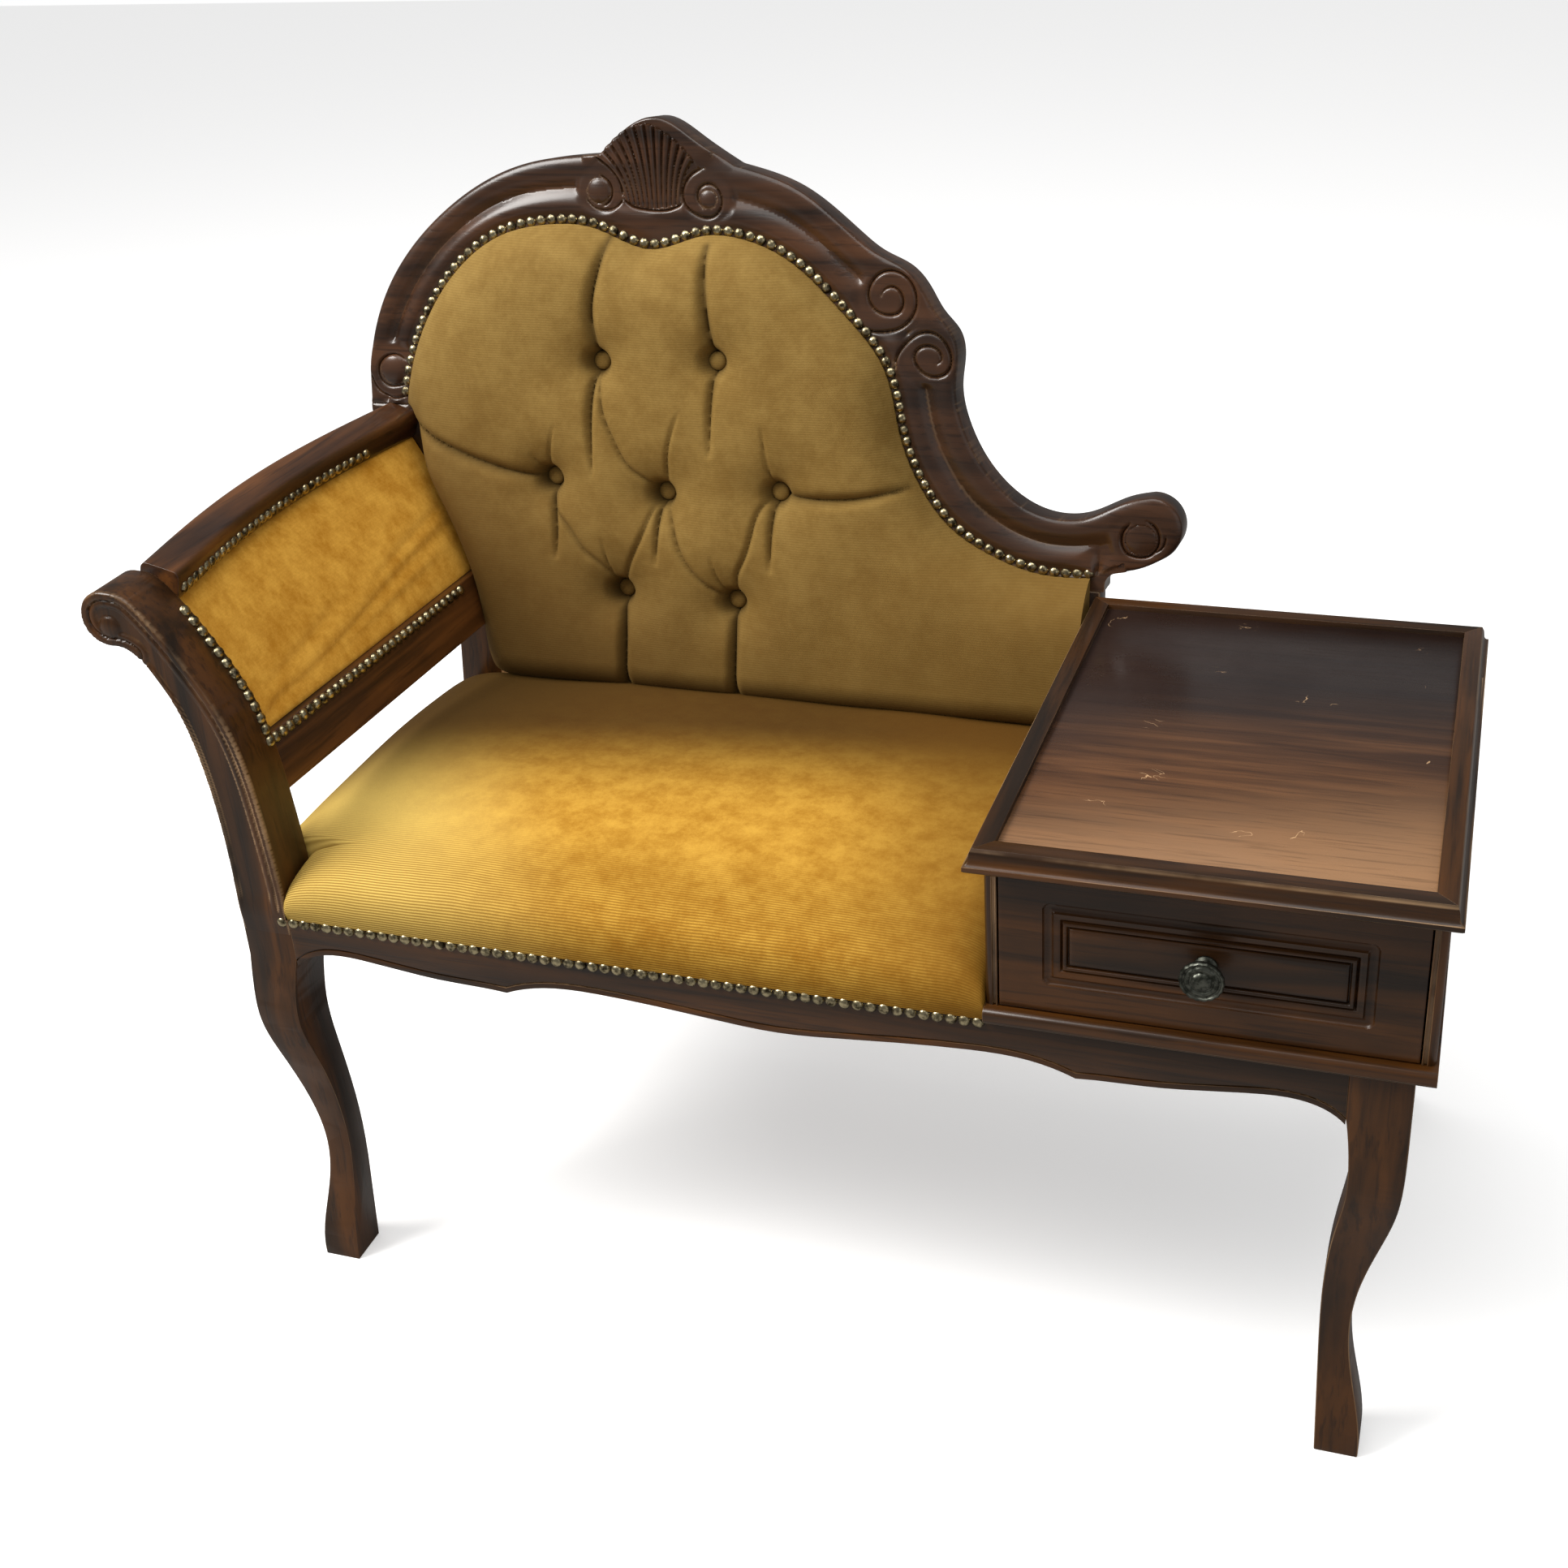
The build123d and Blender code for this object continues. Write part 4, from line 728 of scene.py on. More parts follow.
def grain_group() -> bpy.types.NodeTree:
    """Wood figure on coordinates whose X runs along the grain.

    Returns:
        Group with Figure, Pores and Blotch masks.
    """
    outputs = [("Figure", FLOAT), ("Pores", FLOAT), ("Blotch", FLOAT)]
    tree, n, given, out = new_group("wood_grain", [("Along", VECTOR), ("Scale", FLOAT)], outputs)
    coords = n.add("ShaderNodeVectorMath", {0: given.outputs["Along"]}, operation="SCALE")
    tree.links.new(given.outputs["Scale"], coords.inputs["Scale"])
    wide = n.add("ShaderNodeMapping", {"Vector": coords.outputs[0], "Scale": BROAD_GRAIN})
    fine = n.add("ShaderNodeMapping", {"Vector": coords.outputs[0], "Scale": FINE_GRAIN})
    figure = n.noise(wide.outputs[0], 1.0, 4.0, 0.55, 0.6)
    pores = n.noise(fine.outputs[0], 1.0, 3.0, 0.6)
    blotch = n.noise(coords.outputs[0], 7.0, 5.0, 0.6)
    tree.links.new(n.ramp(figure, 0.28, 0.74), out.inputs["Figure"])
    tree.links.new(n.ramp(pores, 0.5, 0.68), out.inputs["Pores"])
    tree.links.new(n.ramp(blotch, 0.35, 0.68), out.inputs["Blotch"])
    return tree


def weave_group() -> bpy.types.NodeTree:
    """Fine ribs across a pile cloth, with pile that lies both ways.

    Returns:
        Group with Rib, Pile and Patch masks.
    """
    inputs = [("Cloth", VECTOR), ("Across", FLOAT), ("Pitch", FLOAT)]
    outputs = [("Rib", FLOAT), ("Pile", FLOAT), ("Patch", FLOAT)]
    tree, n, given, out = new_group("ribbed_pile", inputs, outputs)
    cloth = given.outputs["Cloth"]
    shifted = n.math("ADD", given.outputs["Across"], n.times(n.noise(cloth, 14.0, 2.0), WOBBLE))
    phase = n.times(n.math("DIVIDE", shifted, given.outputs["Pitch"]), 2 * math.pi)
    rib = n.math("ADD", n.times(n.math("SINE", phase), 0.5), 0.5)
    tree.links.new(rib, out.inputs["Rib"])
    tree.links.new(n.noise(cloth, 900.0, 2.0, 0.7), out.inputs["Pile"])
    tree.links.new(n.ramp(n.noise(cloth, 34.0, 8.0, 0.78), 0.3, 0.7), out.inputs["Patch"])
    return tree


GROUPS: dict[str, bpy.types.NodeTree] = {}


def group_node(n: Nodes, name: str) -> bpy.types.Node:
    """Adds a shared group to a material."""
    if name not in GROUPS:
        GROUPS[name] = {"grain": grain_group, "weave": weave_group}[name]()
    node = n.add("ShaderNodeGroup")
    node.node_tree = GROUPS[name]
    return node


def new_material(name: str) -> tuple[bpy.types.Material, Nodes, bpy.types.Node, bpy.types.NodeSocket]:
    """Empty material.

    Args:
        name: Name of the material.

    Returns:
        The material, its helper, its Principled shader and the Object coordinates.
    """
    material = bpy.data.materials.new(name)
    material.use_nodes = True
    n = Nodes(material.node_tree)
    shader = material.node_tree.nodes["Principled BSDF"]
    return material, n, shader, n.add("ShaderNodeTexCoord").outputs["Object"]


def srgb(red: int, green: int, blue: int) -> tuple[float, float, float, float]:
    """Screen colour from 0 to 255 as the linear colour that shaders use."""
    screen = (red, green, blue)
    return *(c / 255 / 12.92 if c <= 10 else ((c / 255 + 0.055) / 1.055) ** 2.4 for c in screen), 1.0


def shaded(colour: tuple, share: float) -> tuple[float, float, float, float]:
    """A colour with a share of its light left."""
    return *(c * share for c in colour[:3]), 1.0


@dataclass(frozen=True)
class PaintedLight:
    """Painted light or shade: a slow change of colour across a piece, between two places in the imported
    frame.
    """

    start: tuple
    end: tuple
    colour: tuple
    amount: float = 1.0

    def over(
        self, n: Nodes, coords: bpy.types.NodeSocket, base: bpy.types.NodeSocket
    ) -> bpy.types.NodeSocket:
        """Lays the colour over another, more and more towards the end.

        Args:
            n: Helper of the material.
            coords: Object coordinates.
            base: Colour below.

        Returns:
            The mixed colour.
        """
        way = Vector(self.end) - Vector(self.start)
        offset = n.add("ShaderNodeVectorMath", {0: coords, 1: self.start}, operation="SUBTRACT")
        scaled = {0: offset.outputs[0], 1: tuple(way / way.length_squared)}
        share = n.add("ShaderNodeVectorMath", scaled, operation="DOT_PRODUCT").outputs["Value"]
        return n.mix(n.times(n.ramp(share, 0.0, 1.0), self.amount), base, self.colour)


@dataclass(frozen=True)
class WoodFinish:
    """Stained wood under satin lacquer, with any painted light and shade laid over its grain."""

    name: str
    dark: tuple
    light: tuple
    worn: tuple
    rough: float = 0.36
    coat: float = 0.18
    scale: float = 1.0
    turn: tuple = (0.0, 0.0, 0.0)
    wear: float = 0.8
    blotch: float = 0.4
    pores: float = 0.5
    pore_shade: float = 0.35
    uneven: float = 0.14
    specular: float = 0.33
    coat_rough: float = 0.2
    fades: tuple = ()
    scratched: bool = False

    def build(self) -> bpy.types.Material:
        """Makes the material; its grain runs along X after the turn.

        Returns:
            The material.
        """
        material, n, shader, coords = new_material(self.name)
        turned = n.add("ShaderNodeMapping", {"Vector": coords, "Rotation": self.turn})
        grain = group_node(n, "grain")
        n.tree.links.new(turned.outputs[0], grain.inputs["Along"])
        grain.inputs["Scale"].default_value = self.scale
        colour = n.mix(grain.outputs["Figure"], self.dark, self.light)
        colour = n.mix(n.times(grain.outputs["Blotch"], self.blotch), colour, self.dark)
        # painted light and shade laid across the piece
        for fade in self.fades:
            colour = fade.over(n, coords, colour)
        pores = n.times(grain.outputs["Pores"], self.pores)
        colour = n.mix(pores, colour, shaded(self.dark, self.pore_shade))
        if self.scratched:
            colour = n.mix(self.scratches(n, coords), colour, self.worn)
        arris = n.add("ShaderNodeAttribute", attribute_name="arris")
        rubbed = n.times(n.times(arris.outputs["Fac"], grain.outputs["Blotch"]), self.wear)
        n.tree.links.new(n.mix(rubbed, colour, self.worn), shader.inputs["Base Color"])
        rough = n.math("ADD", n.times(grain.outputs["Blotch"], self.uneven), self.rough - 0.04)
        n.tree.links.new(rough, shader.inputs["Roughness"])
        height = n.math("SUBTRACT", n.times(grain.outputs["Figure"], 0.3), grain.outputs["Pores"])
        bump = n.add("ShaderNodeBump", {"Strength": 0.2, "Distance": 0.0003, "Height": height})
        n.tree.links.new(bump.outputs[0], shader.inputs["Normal"])
        shader.inputs["Specular IOR Level"].default_value = self.specular
        shader.inputs["Coat Weight"].default_value = self.coat
        shader.inputs["Coat Roughness"].default_value = self.coat_rough
        return material

    def scratches(self, n: Nodes, coords: bpy.types.NodeSocket) -> bpy.types.NodeSocket:
        """Mask of a few thin scratches."""
        off = n.math("ABSOLUTE", n.math("SUBTRACT", n.noise(coords, 26.0, 3.0, distort=0.8), 0.5))
        thin = n.math("SUBTRACT", 1.0, n.ramp(off, 0.001, 0.006))
        where = n.ramp(n.noise(coords, 19.0, 1.0), 0.66, 0.7)
        return n.times(n.times(thin, where), 0.6)


@dataclass(frozen=True)
class VelvetFinish:
    """Cotton velvet with a ribbed ground, rubbed and laid in patches, with painted sheen, painted shade in its
    folds and painted light and shade across the piece.
    """

    name: str
    deep: tuple
    bright: tuple
    pitch: float
    rib: float
    sheen: float
    turn: tuple = (0.0, 0.0, 0.0)
    patch: float = 1.0
    lay: tuple | None = None
    fades: tuple = ()
    painted_sheen_and_pile: float = 0.3
    # how strongly the painted shade of the folds darkens the cloth
    fold: float = 0.8
    rough: float = 0.85
    sheen_rough: float = 0.4
    specular: float = 0.15

    def build(self) -> bpy.types.Material:
        """Makes the material; its ribs run across Z after the turn, or across the piece's own lay.

        Returns:
            The material.
        """
        material, n, shader, coords = new_material(self.name)
        turned = n.add("ShaderNodeMapping", {"Vector": coords, "Rotation": self.turn}).outputs[0]
        across = n.add("ShaderNodeSeparateXYZ", {0: turned}).outputs["Z"]
        amount = self.rib
        if self.lay:
            across = n.add("ShaderNodeAttribute", attribute_name="lay").outputs["Fac"]
            amount = n.times(n.math("SUBTRACT", 1.0, n.ramp(across, *self.lay)), self.rib)
        cloth = group_node(n, "weave")
        n.tree.links.new(turned, cloth.inputs["Cloth"])
        n.tree.links.new(across, cloth.inputs["Across"])
        cloth.inputs["Pitch"].default_value = self.pitch * MM
        rib = n.times(cloth.outputs["Rib"], amount)
        shadow, painted_fold_shade = shaded(self.deep, 0.5), shaded(self.deep, 0.25)
        colour = n.mix(n.times(cloth.outputs["Patch"], self.patch), self.deep, self.bright)
        # painted sheen: the colour brightens towards the bright tint where the cloth is seen at a slant
        facing = n.add("ShaderNodeLayerWeight", {"Blend": 0.3})
        colour = n.mix(n.times(facing.outputs["Facing"], self.painted_sheen_and_pile), colour, self.bright)
        # painted light and shade laid across the piece
        for fade in self.fades:
            colour = fade.over(n, coords, colour)
        colour = n.mix(rib, colour, shadow)
        # painted shade in the pad's pits and folds, read from its stored attribute
        fold = n.add("ShaderNodeAttribute", attribute_name="fold")
        colour = n.mix(n.times(fold.outputs["Fac"], self.fold), colour, painted_fold_shade)
        colour = n.mix(n.times(cloth.outputs["Pile"], self.painted_sheen_and_pile), colour, shadow)
        n.tree.links.new(colour, shader.inputs["Base Color"])
        height = n.math("SUBTRACT", n.times(cloth.outputs["Pile"], 0.5), rib)
        bump = n.add("ShaderNodeBump", {"Strength": 0.4, "Distance": 0.0006, "Height": height})
        n.tree.links.new(bump.outputs[0], shader.inputs["Normal"])
        shader.inputs["Roughness"].default_value = self.rough
        shader.inputs["Sheen Weight"].default_value = self.sheen
        shader.inputs["Sheen Roughness"].default_value = self.sheen_rough
        shader.inputs["Sheen Tint"].default_value = self.bright
        shader.inputs["Specular IOR Level"].default_value = self.specular
        return material


@dataclass(frozen=True)
class MetalFinish:
    """Cast or pressed metal, tarnished darker in random patches."""

    name: str
    bright: tuple
    dark: tuple
    rough: float = 0.3
    tarnish: float = 0.2

    def build(self) -> bpy.types.Material:
        """Makes the material."""
        material, n, shader, coords = new_material(self.name)
        stain = n.noise(coords, 170.0, 4.0, 0.6)
        mask = n.ramp(stain, 0.38, 0.66)
        n.tree.links.new(n.mix(mask, self.bright, self.dark), shader.inputs["Base Color"])
        n.tree.links.new(n.math("ADD", n.times(mask, self.tarnish), self.rough), shader.inputs["Roughness"])
        bump = n.add("ShaderNodeBump", {"Strength": 0.25, "Distance": 0.0003, "Height": stain})
        n.tree.links.new(bump.outputs[0], shader.inputs["Normal"])
        shader.inputs["Metallic"].default_value = 1.0
        return material


QUARTER = math.pi / 2
DARK, LIGHT, WORN = srgb(29, 16, 4), srgb(82, 47, 13), srgb(184, 148, 108)
TURNS = {
    Grain.ACROSS: (0.0, 0.0, 0.0),
    Grain.DEEP: (0.0, 0.0, QUARTER),
    Grain.UPRIGHT: (0.0, QUARTER, 0.0),
}


class Finishes:
    """All materials of the bench, made once."""

    def __init__(self) -> None:
        """Builds the materials."""
        self.wood = {
            grain: WoodFinish(f"mahogany_{grain.name.lower()}", DARK, LIGHT, WORN, turn=TURNS[grain]).build()
            for grain in Grain
        }
        self.arm_wood = WoodFinish(
            "arm_mahogany", srgb(38, 20, 8), srgb(104, 62, 26), WORN, turn=TURNS[Grain.DEEP], coat=0.3
        ).build()
        self.crest_wood = WoodFinish(
            "crest_mahogany", srgb(34, 20, 11), srgb(76, 47, 27), WORN, rough=0.33, coat=0.35, wear=0.15
        ).build()
        self.veneer = WoodFinish(
            "table_veneer", srgb(56, 34, 20), srgb(98, 64, 38), srgb(214, 174, 130),
            rough=0.3, coat=0.25, scale=1.6, blotch=0.2, pores=0.3,
            # painted shade towards the rear and the left of the top, and painted light towards its front
            fades=(
                PaintedLight((0.36, -0.10, 0.53), (0.34, 0.03, 0.53), srgb(26, 16, 14), 0.93),
                PaintedLight((0.36, -0.11, 0.53), (0.41, -0.28, 0.53), srgb(156, 118, 84), 0.8),
                PaintedLight((0.29, -0.10, 0.53), (0.20, -0.06, 0.53), srgb(44, 28, 22), 0.5),
            ),
            scratched=True,
        ).build()
        self.inner = WoodFinish(
            "inner_wood", srgb(120, 84, 50), srgb(168, 124, 78), srgb(190, 150, 100), rough=0.6, coat=0.0
        ).build()
        self.seat = VelvetFinish(
            "seat_velvet", srgb(156, 106, 22), srgb(204, 158, 62), 2.5, 0.75, 0.12,
            lay=(0.06, 0.15), patch=0.9,
            # painted highlight at the front left, painted shadow towards the rear under the back, painted
            # shade towards the right and over the left roll
            fades=(
                PaintedLight((-0.18, -0.12, 0.42), (-0.34, -0.22, 0.40), srgb(224, 194, 106), 0.8),
                PaintedLight((-0.16, -0.13, 0.43), (-0.19, 0.05, 0.42), srgb(48, 28, 6), 0.95),
                PaintedLight((-0.02, -0.02, 0.43), (0.15, 0.03, 0.42), srgb(88, 56, 12), 0.6),
                PaintedLight((-0.28, -0.05, 0.43), (-0.41, 0.05, 0.40), srgb(60, 42, 14), 0.85),
            ),
        ).build()
        self.arm = VelvetFinish(
            "arm_velvet", srgb(176, 118, 26), srgb(228, 174, 72), 2.2, 0.05, 0.4, patch=0.9
        ).build()
        self.back = VelvetFinish(
            "back_velvet", srgb(120, 92, 42), srgb(164, 136, 76), 2.2, 0.22, 0.2,
            turn=(RAKE, 0.0, 0.0), patch=0.45,
            # painted shade towards the lower left and the lower right of the pad
            fades=(
                PaintedLight((-0.26, 0.17, 0.68), (-0.40, 0.12, 0.48), srgb(72, 46, 10), 0.85),
                PaintedLight((-0.1, 0.17, 0.66), (0.1, 0.12, 0.44), srgb(102, 74, 28), 0.65),
            ),
        ).build()
        self.rear_cloth = VelvetFinish(
            "outside_cloth", srgb(116, 84, 26), srgb(142, 108, 42), 1.9, 0.15, 0.3
        ).build()
        self.nail = MetalFinish("nail_brass", srgb(182, 170, 136), srgb(54, 47, 34), 0.24).build()
        self.knob = MetalFinish("knob_metal", srgb(96, 98, 90), srgb(46, 48, 42), 0.38).build()
        self.steel = MetalFinish("screw_steel", srgb(150, 150, 152), srgb(110, 110, 112)).build()


def dress(piece: bpy.types.Object, material: bpy.types.Material) -> bpy.types.Object:
    """Gives a piece one material."""
    piece.data.materials.clear()
    piece.data.materials.append(material)
    return piece


def dress_node(node: str, material: bpy.types.Material) -> None:
    """Gives a CAD node's slots a better material."""
    for slot in frame["nodes"][node].material_slots:
        slot.material = material


# ---------------------------------------------------------------- sub-assemblies
@dataclass
class Woodwork:
    """Legs, rails, cabinet, table top and drawer, with their arrises rounded."""

    finishes: Finishes
    arris: float = 1.6
    edge_arris: float = 1.2
    thin_arris: float = 0.5
    panel_arris: float = 0.3
    arm_steps: int = 4
    arm_rails: tuple = (("arm_top_rail", 3.5), ("arm_lower_rail", 1.2))
    thin: tuple = ("corner_beads", "bed_board")
    upright: tuple = (
        "front_leg_left", "front_leg_right", "rear_leg_right", "rear_post_left", "inner_post", "corner_beads",
    )
    across: tuple = (
        "front_rail", "rear_rail", "cabinet_foot", "bed_board", "top_edge_front", "top_edge_back",
    )
    deep: tuple = (
        "side_rail_left", "side_rail_right", "cabinet_side_left", "cabinet_side_right", "top_edge_left",
        "top_edge_right",
    )
    hidden: tuple = (
        "middle_rail", "corner_blocks", "back_lower_rail", "back_board", "seat_board", "cabinet_back",
        "drawer_runners", "drawer_side_left", "drawer_side_right", "drawer_rear", "drawer_bottom",
    )

    def rounding(self, name: str) -> float:
        """Width of a board's rounded arris, in millimetres."""
        if name.startswith("top_edge"):
            return self.edge_arris
        return self.thin_arris if name in self.thin else self.arris

    def build(self) -> None:
        """Rounds and dresses every visible board, and dresses the hidden ones."""
        boards = {Grain.UPRIGHT: self.upright, Grain.ACROSS: self.across, Grain.DEEP: self.deep}
        for grain, names in boards.items():
            for name in names:
                piece = softened(name, self.rounding(name))
                dress(piece, self.finishes.wood[grain])
        panel = softened("top_panel", self.panel_arris)
        dress(panel, self.finishes.veneer)
        for name, width in self.arm_rails:
            dress(softened(name, width, self.arm_steps), self.finishes.arm_wood)
        for name in self.hidden:
            dress_node(name, self.finishes.inner)
        dress_node("outside_back", self.finishes.rear_cloth)
        dress_node("knob_screw", self.finishes.steel)


@dataclass
class DrawerFront:
    """Front of the drawer: a cove with round corners, a flat, and a mitred bead round the field."""

    finishes: Finishes
    half_wide: float = 119.2
    half_high: float = 35.8
    corner: float = 7.0
    cove: tuple = (8.4, 3.2)
    flat: float = 0.5
    quirks: tuple = (14.2, 19.2)
    quirk: tuple = (0.85, 2.4)
    bead: tuple = (16.7, 1.8, 0.9)
    arris: float = 1.0
    arris_lines: tuple = (0.0, 0.2, 0.5)
    bead_span: tuple = (13.0, 20.8)
    cove_cell: float = 0.7
    bead_cell: float = 0.4
    wide_cell: float = 6.0
    closest: float = 0.15

    def depth(self, x: np.ndarray, z: np.ndarray) -> np.ndarray:
        """How far the face is sunk.

        Args:
            x: Distances from the front's middle, sideways.
            z: Distances from the front's middle, upwards.

        Returns:
            One depth per point, in millimetres.
        """
        over_x = np.abs(x) - self.half_wide + self.corner
        over_z = np.abs(z) - self.half_high + self.corner
        beyond = np.hypot(np.maximum(over_x, 0), np.maximum(over_z, 0))
        d = self.corner - beyond - np.minimum(np.maximum(over_x, over_z), 0)
        width, deep = self.cove
        sunk = deep * hump(2 * d / width - 1) + self.flat * step(d, width - 0.5, width + 0.5)
        narrow, cut = self.quirk
        for quirk in self.quirks:
            sunk += cut * np.exp(-(((d - quirk) / narrow) ** 2))
        at, half, high = self.bead
        return sunk - high * hump((d - at) / half) - self.flat * step(d, self.quirks[1], self.quirks[1] + 1)

    def lines(self, half: float, panel: float) -> np.ndarray:
        """Places of the grid's lines, close together at the moulding and at the arrises.

        Args:
            half: Half of the board's size.
            panel: Half of the moulding's size.

        Returns:
            Rising places from -half to half.
        """
        cove = np.arange(0, self.cove[0] + 0.8, self.cove_cell)
        moulding = np.concatenate([cove, np.arange(*self.bead_span, self.bead_cell)])
        rim = half - np.array([*self.arris_lines, self.arris])
        wide = np.arange(0, half - self.arris, self.wide_cell)
        fine = np.unique(np.round(np.concatenate([rim, panel - moulding, wide]), 2))
        keep = np.concatenate([[True], np.diff(fine) > self.closest])
        return np.concatenate([-fine[keep][:0:-1], fine[keep]])

    def build(self) -> bpy.types.Object:
        """Makes the board with its moulding.

        Returns:
            The front's piece.
        """
        low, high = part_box("drawer_front")
        size, middle = (high - low) / MM, (low + high) / 2
        x_lines = self.lines(size.x / 2, self.half_wide)
        z_lines = self.lines(size.z / 2, self.half_high)
        piece = grid("panelled_front", len(x_lines) - 1, len(z_lines) - 1)
        x, z = np.tile(x_lines, len(z_lines)), np.repeat(z_lines, len(x_lines))
        edge = np.minimum(size.x / 2 - np.abs(x), size.z / 2 - np.abs(z))
        sunk = self.depth(x, z) + quarter_round(edge, self.arris)
        set_points(piece, np.column_stack([middle.x + x * MM, low.y + sunk * MM, middle.z + z * MM]))

        def to_rear(co: np.ndarray) -> np.ndarray:
            """Drops border points square to the board's rear face."""
            return np.column_stack([co[:, 0], np.full(len(co), high.y), co[:, 2]])

        close_below(piece, to_rear)
        smooth(piece, 50)
        dress(piece, self.finishes.wood[Grain.ACROSS])
        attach(piece, "drawer")
        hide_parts("drawer_front")
        log.info("drawer front: %d faces", len(piece.data.polygons))
        return piece


NAIL_ARCH: Points = [
    (-518, 286), (-514, 312), (-483, 389), (-446, 433), (-405, 459), (-357, 469), (-316, 467), (-284, 455),
    (-260, 449), (-235, 453), (-205, 462), (-174, 461), (-127, 443), (-77, 399), (-39, 352), (-23, 291),
    (-6, 250), (29, 206), (65, 185), (108, 171), (159, 170),
]


@dataclass(frozen=True)
class Groove:
    """A line cut by the carver's gouge, shallower towards its ends."""

    points: tuple
    width: float = 7.6
    depth: float = 3.4


@dataclass(frozen=True)
class Eye:
    """Middle of a volute: a dome, and the ground that is flattened round it."""

    x: float
    w: float
    radius: float
    lift: float
    flat: float


SHELL_EDGE: Points = [
    (-308, 533), (-299, 542), (-290, 551), (-280, 557), (-268, 561), (-256, 562.5), (-245, 558),
    (-235, 552), (-226, 545), (-219, 538), (-213, 531),
]
GROOVES = (
    Groove((
        (-519, 340), (-530, 346), (-543, 343), (-551, 332), (-549, 321), (-541, 315.5), (-530, 316),
        (-521, 318),
    )),
    Groove(((-560, 326), (-556, 315), (-546, 306), (-533, 303.5), (-522, 307), (-516, 313))),
    Groove(((-562, 297), (-540, 297), (-519, 297)), 4.5, 1.8),
    Groove(((-303, 490.5), (-297, 495), (-294, 503), (-297, 512), (-305, 517.5)), 5.4),
    Groove(((-283, 497), (-290, 490), (-300, 487), (-312, 489), (-320, 497)), 5.4, 2.2),
    Groove(((-284, 500), (-286, 512), (-294, 523), (-308, 533)), 5.4),
    Groove((
        (-203, 525), (-213, 521.5), (-221, 514), (-225, 504), (-223, 494), (-215, 486), (-205, 482),
        (-195, 483.5), (-188.5, 491), (-188, 501), (-193, 509), (-201, 511.5), (-209, 507), (-210.5, 498),
        (-206, 490),
    )),
    Groove((
        (-38, 418), (-34, 424), (-27, 426), (-20, 421), (-17.5, 412), (-21, 404), (-30, 401), (-40, 403),
        (-47, 409), (-50, 418), (-47.5, 428), (-41, 436), (-31, 440), (-20, 438), (-11, 431), (-6, 420),
        (-5.5, 410), (-10, 399), (-20, 390), (-32, 386.5), (-46, 386), (-60, 389.5), (-72, 393),
    ), 8.0, 3.8),
    Groove((
        (-27, 346), (-25, 357), (-20, 370), (-12, 379.5), (-2, 386), (8, 387), (18, 382), (25, 372),
        (27, 361), (23, 352), (14, 348), (5, 349), (-3, 355), (-7, 364), (-4, 371.5), (3, 375), (11, 374),
        (17, 369), (18, 363), (14, 359),
    ), 8.0, 3.8),
    Groove(((6, 347), (11, 347), (17, 347)), 4.0, 1.6),
    Groove((
        (193, 226), (187, 218), (186, 208), (191, 199), (200, 196), (211, 198), (218, 206), (219, 215),
        (215, 224), (208, 229),
    )),
    Groove(((216, 201), (223, 207), (225, 216)), 5.0, 2.0),
    Groove(((-283, 497), (-275, 491), (-264, 488.5), (-250, 487.5), (-236, 489), (-225, 494)), 5.4),
)
EYES = (
    Eye(-534, 331, 14, 2.8, 33),
    Eye(-307, 504, 11.5, 2.8, 25),
    Eye(-200, 498, 8.5, 1.8, 28),
    Eye(-30, 413, 0, 0, 37),
    Eye(6, 366, 0, 0, 31),
    Eye(203, 212, 14, 1.0, 32),
)


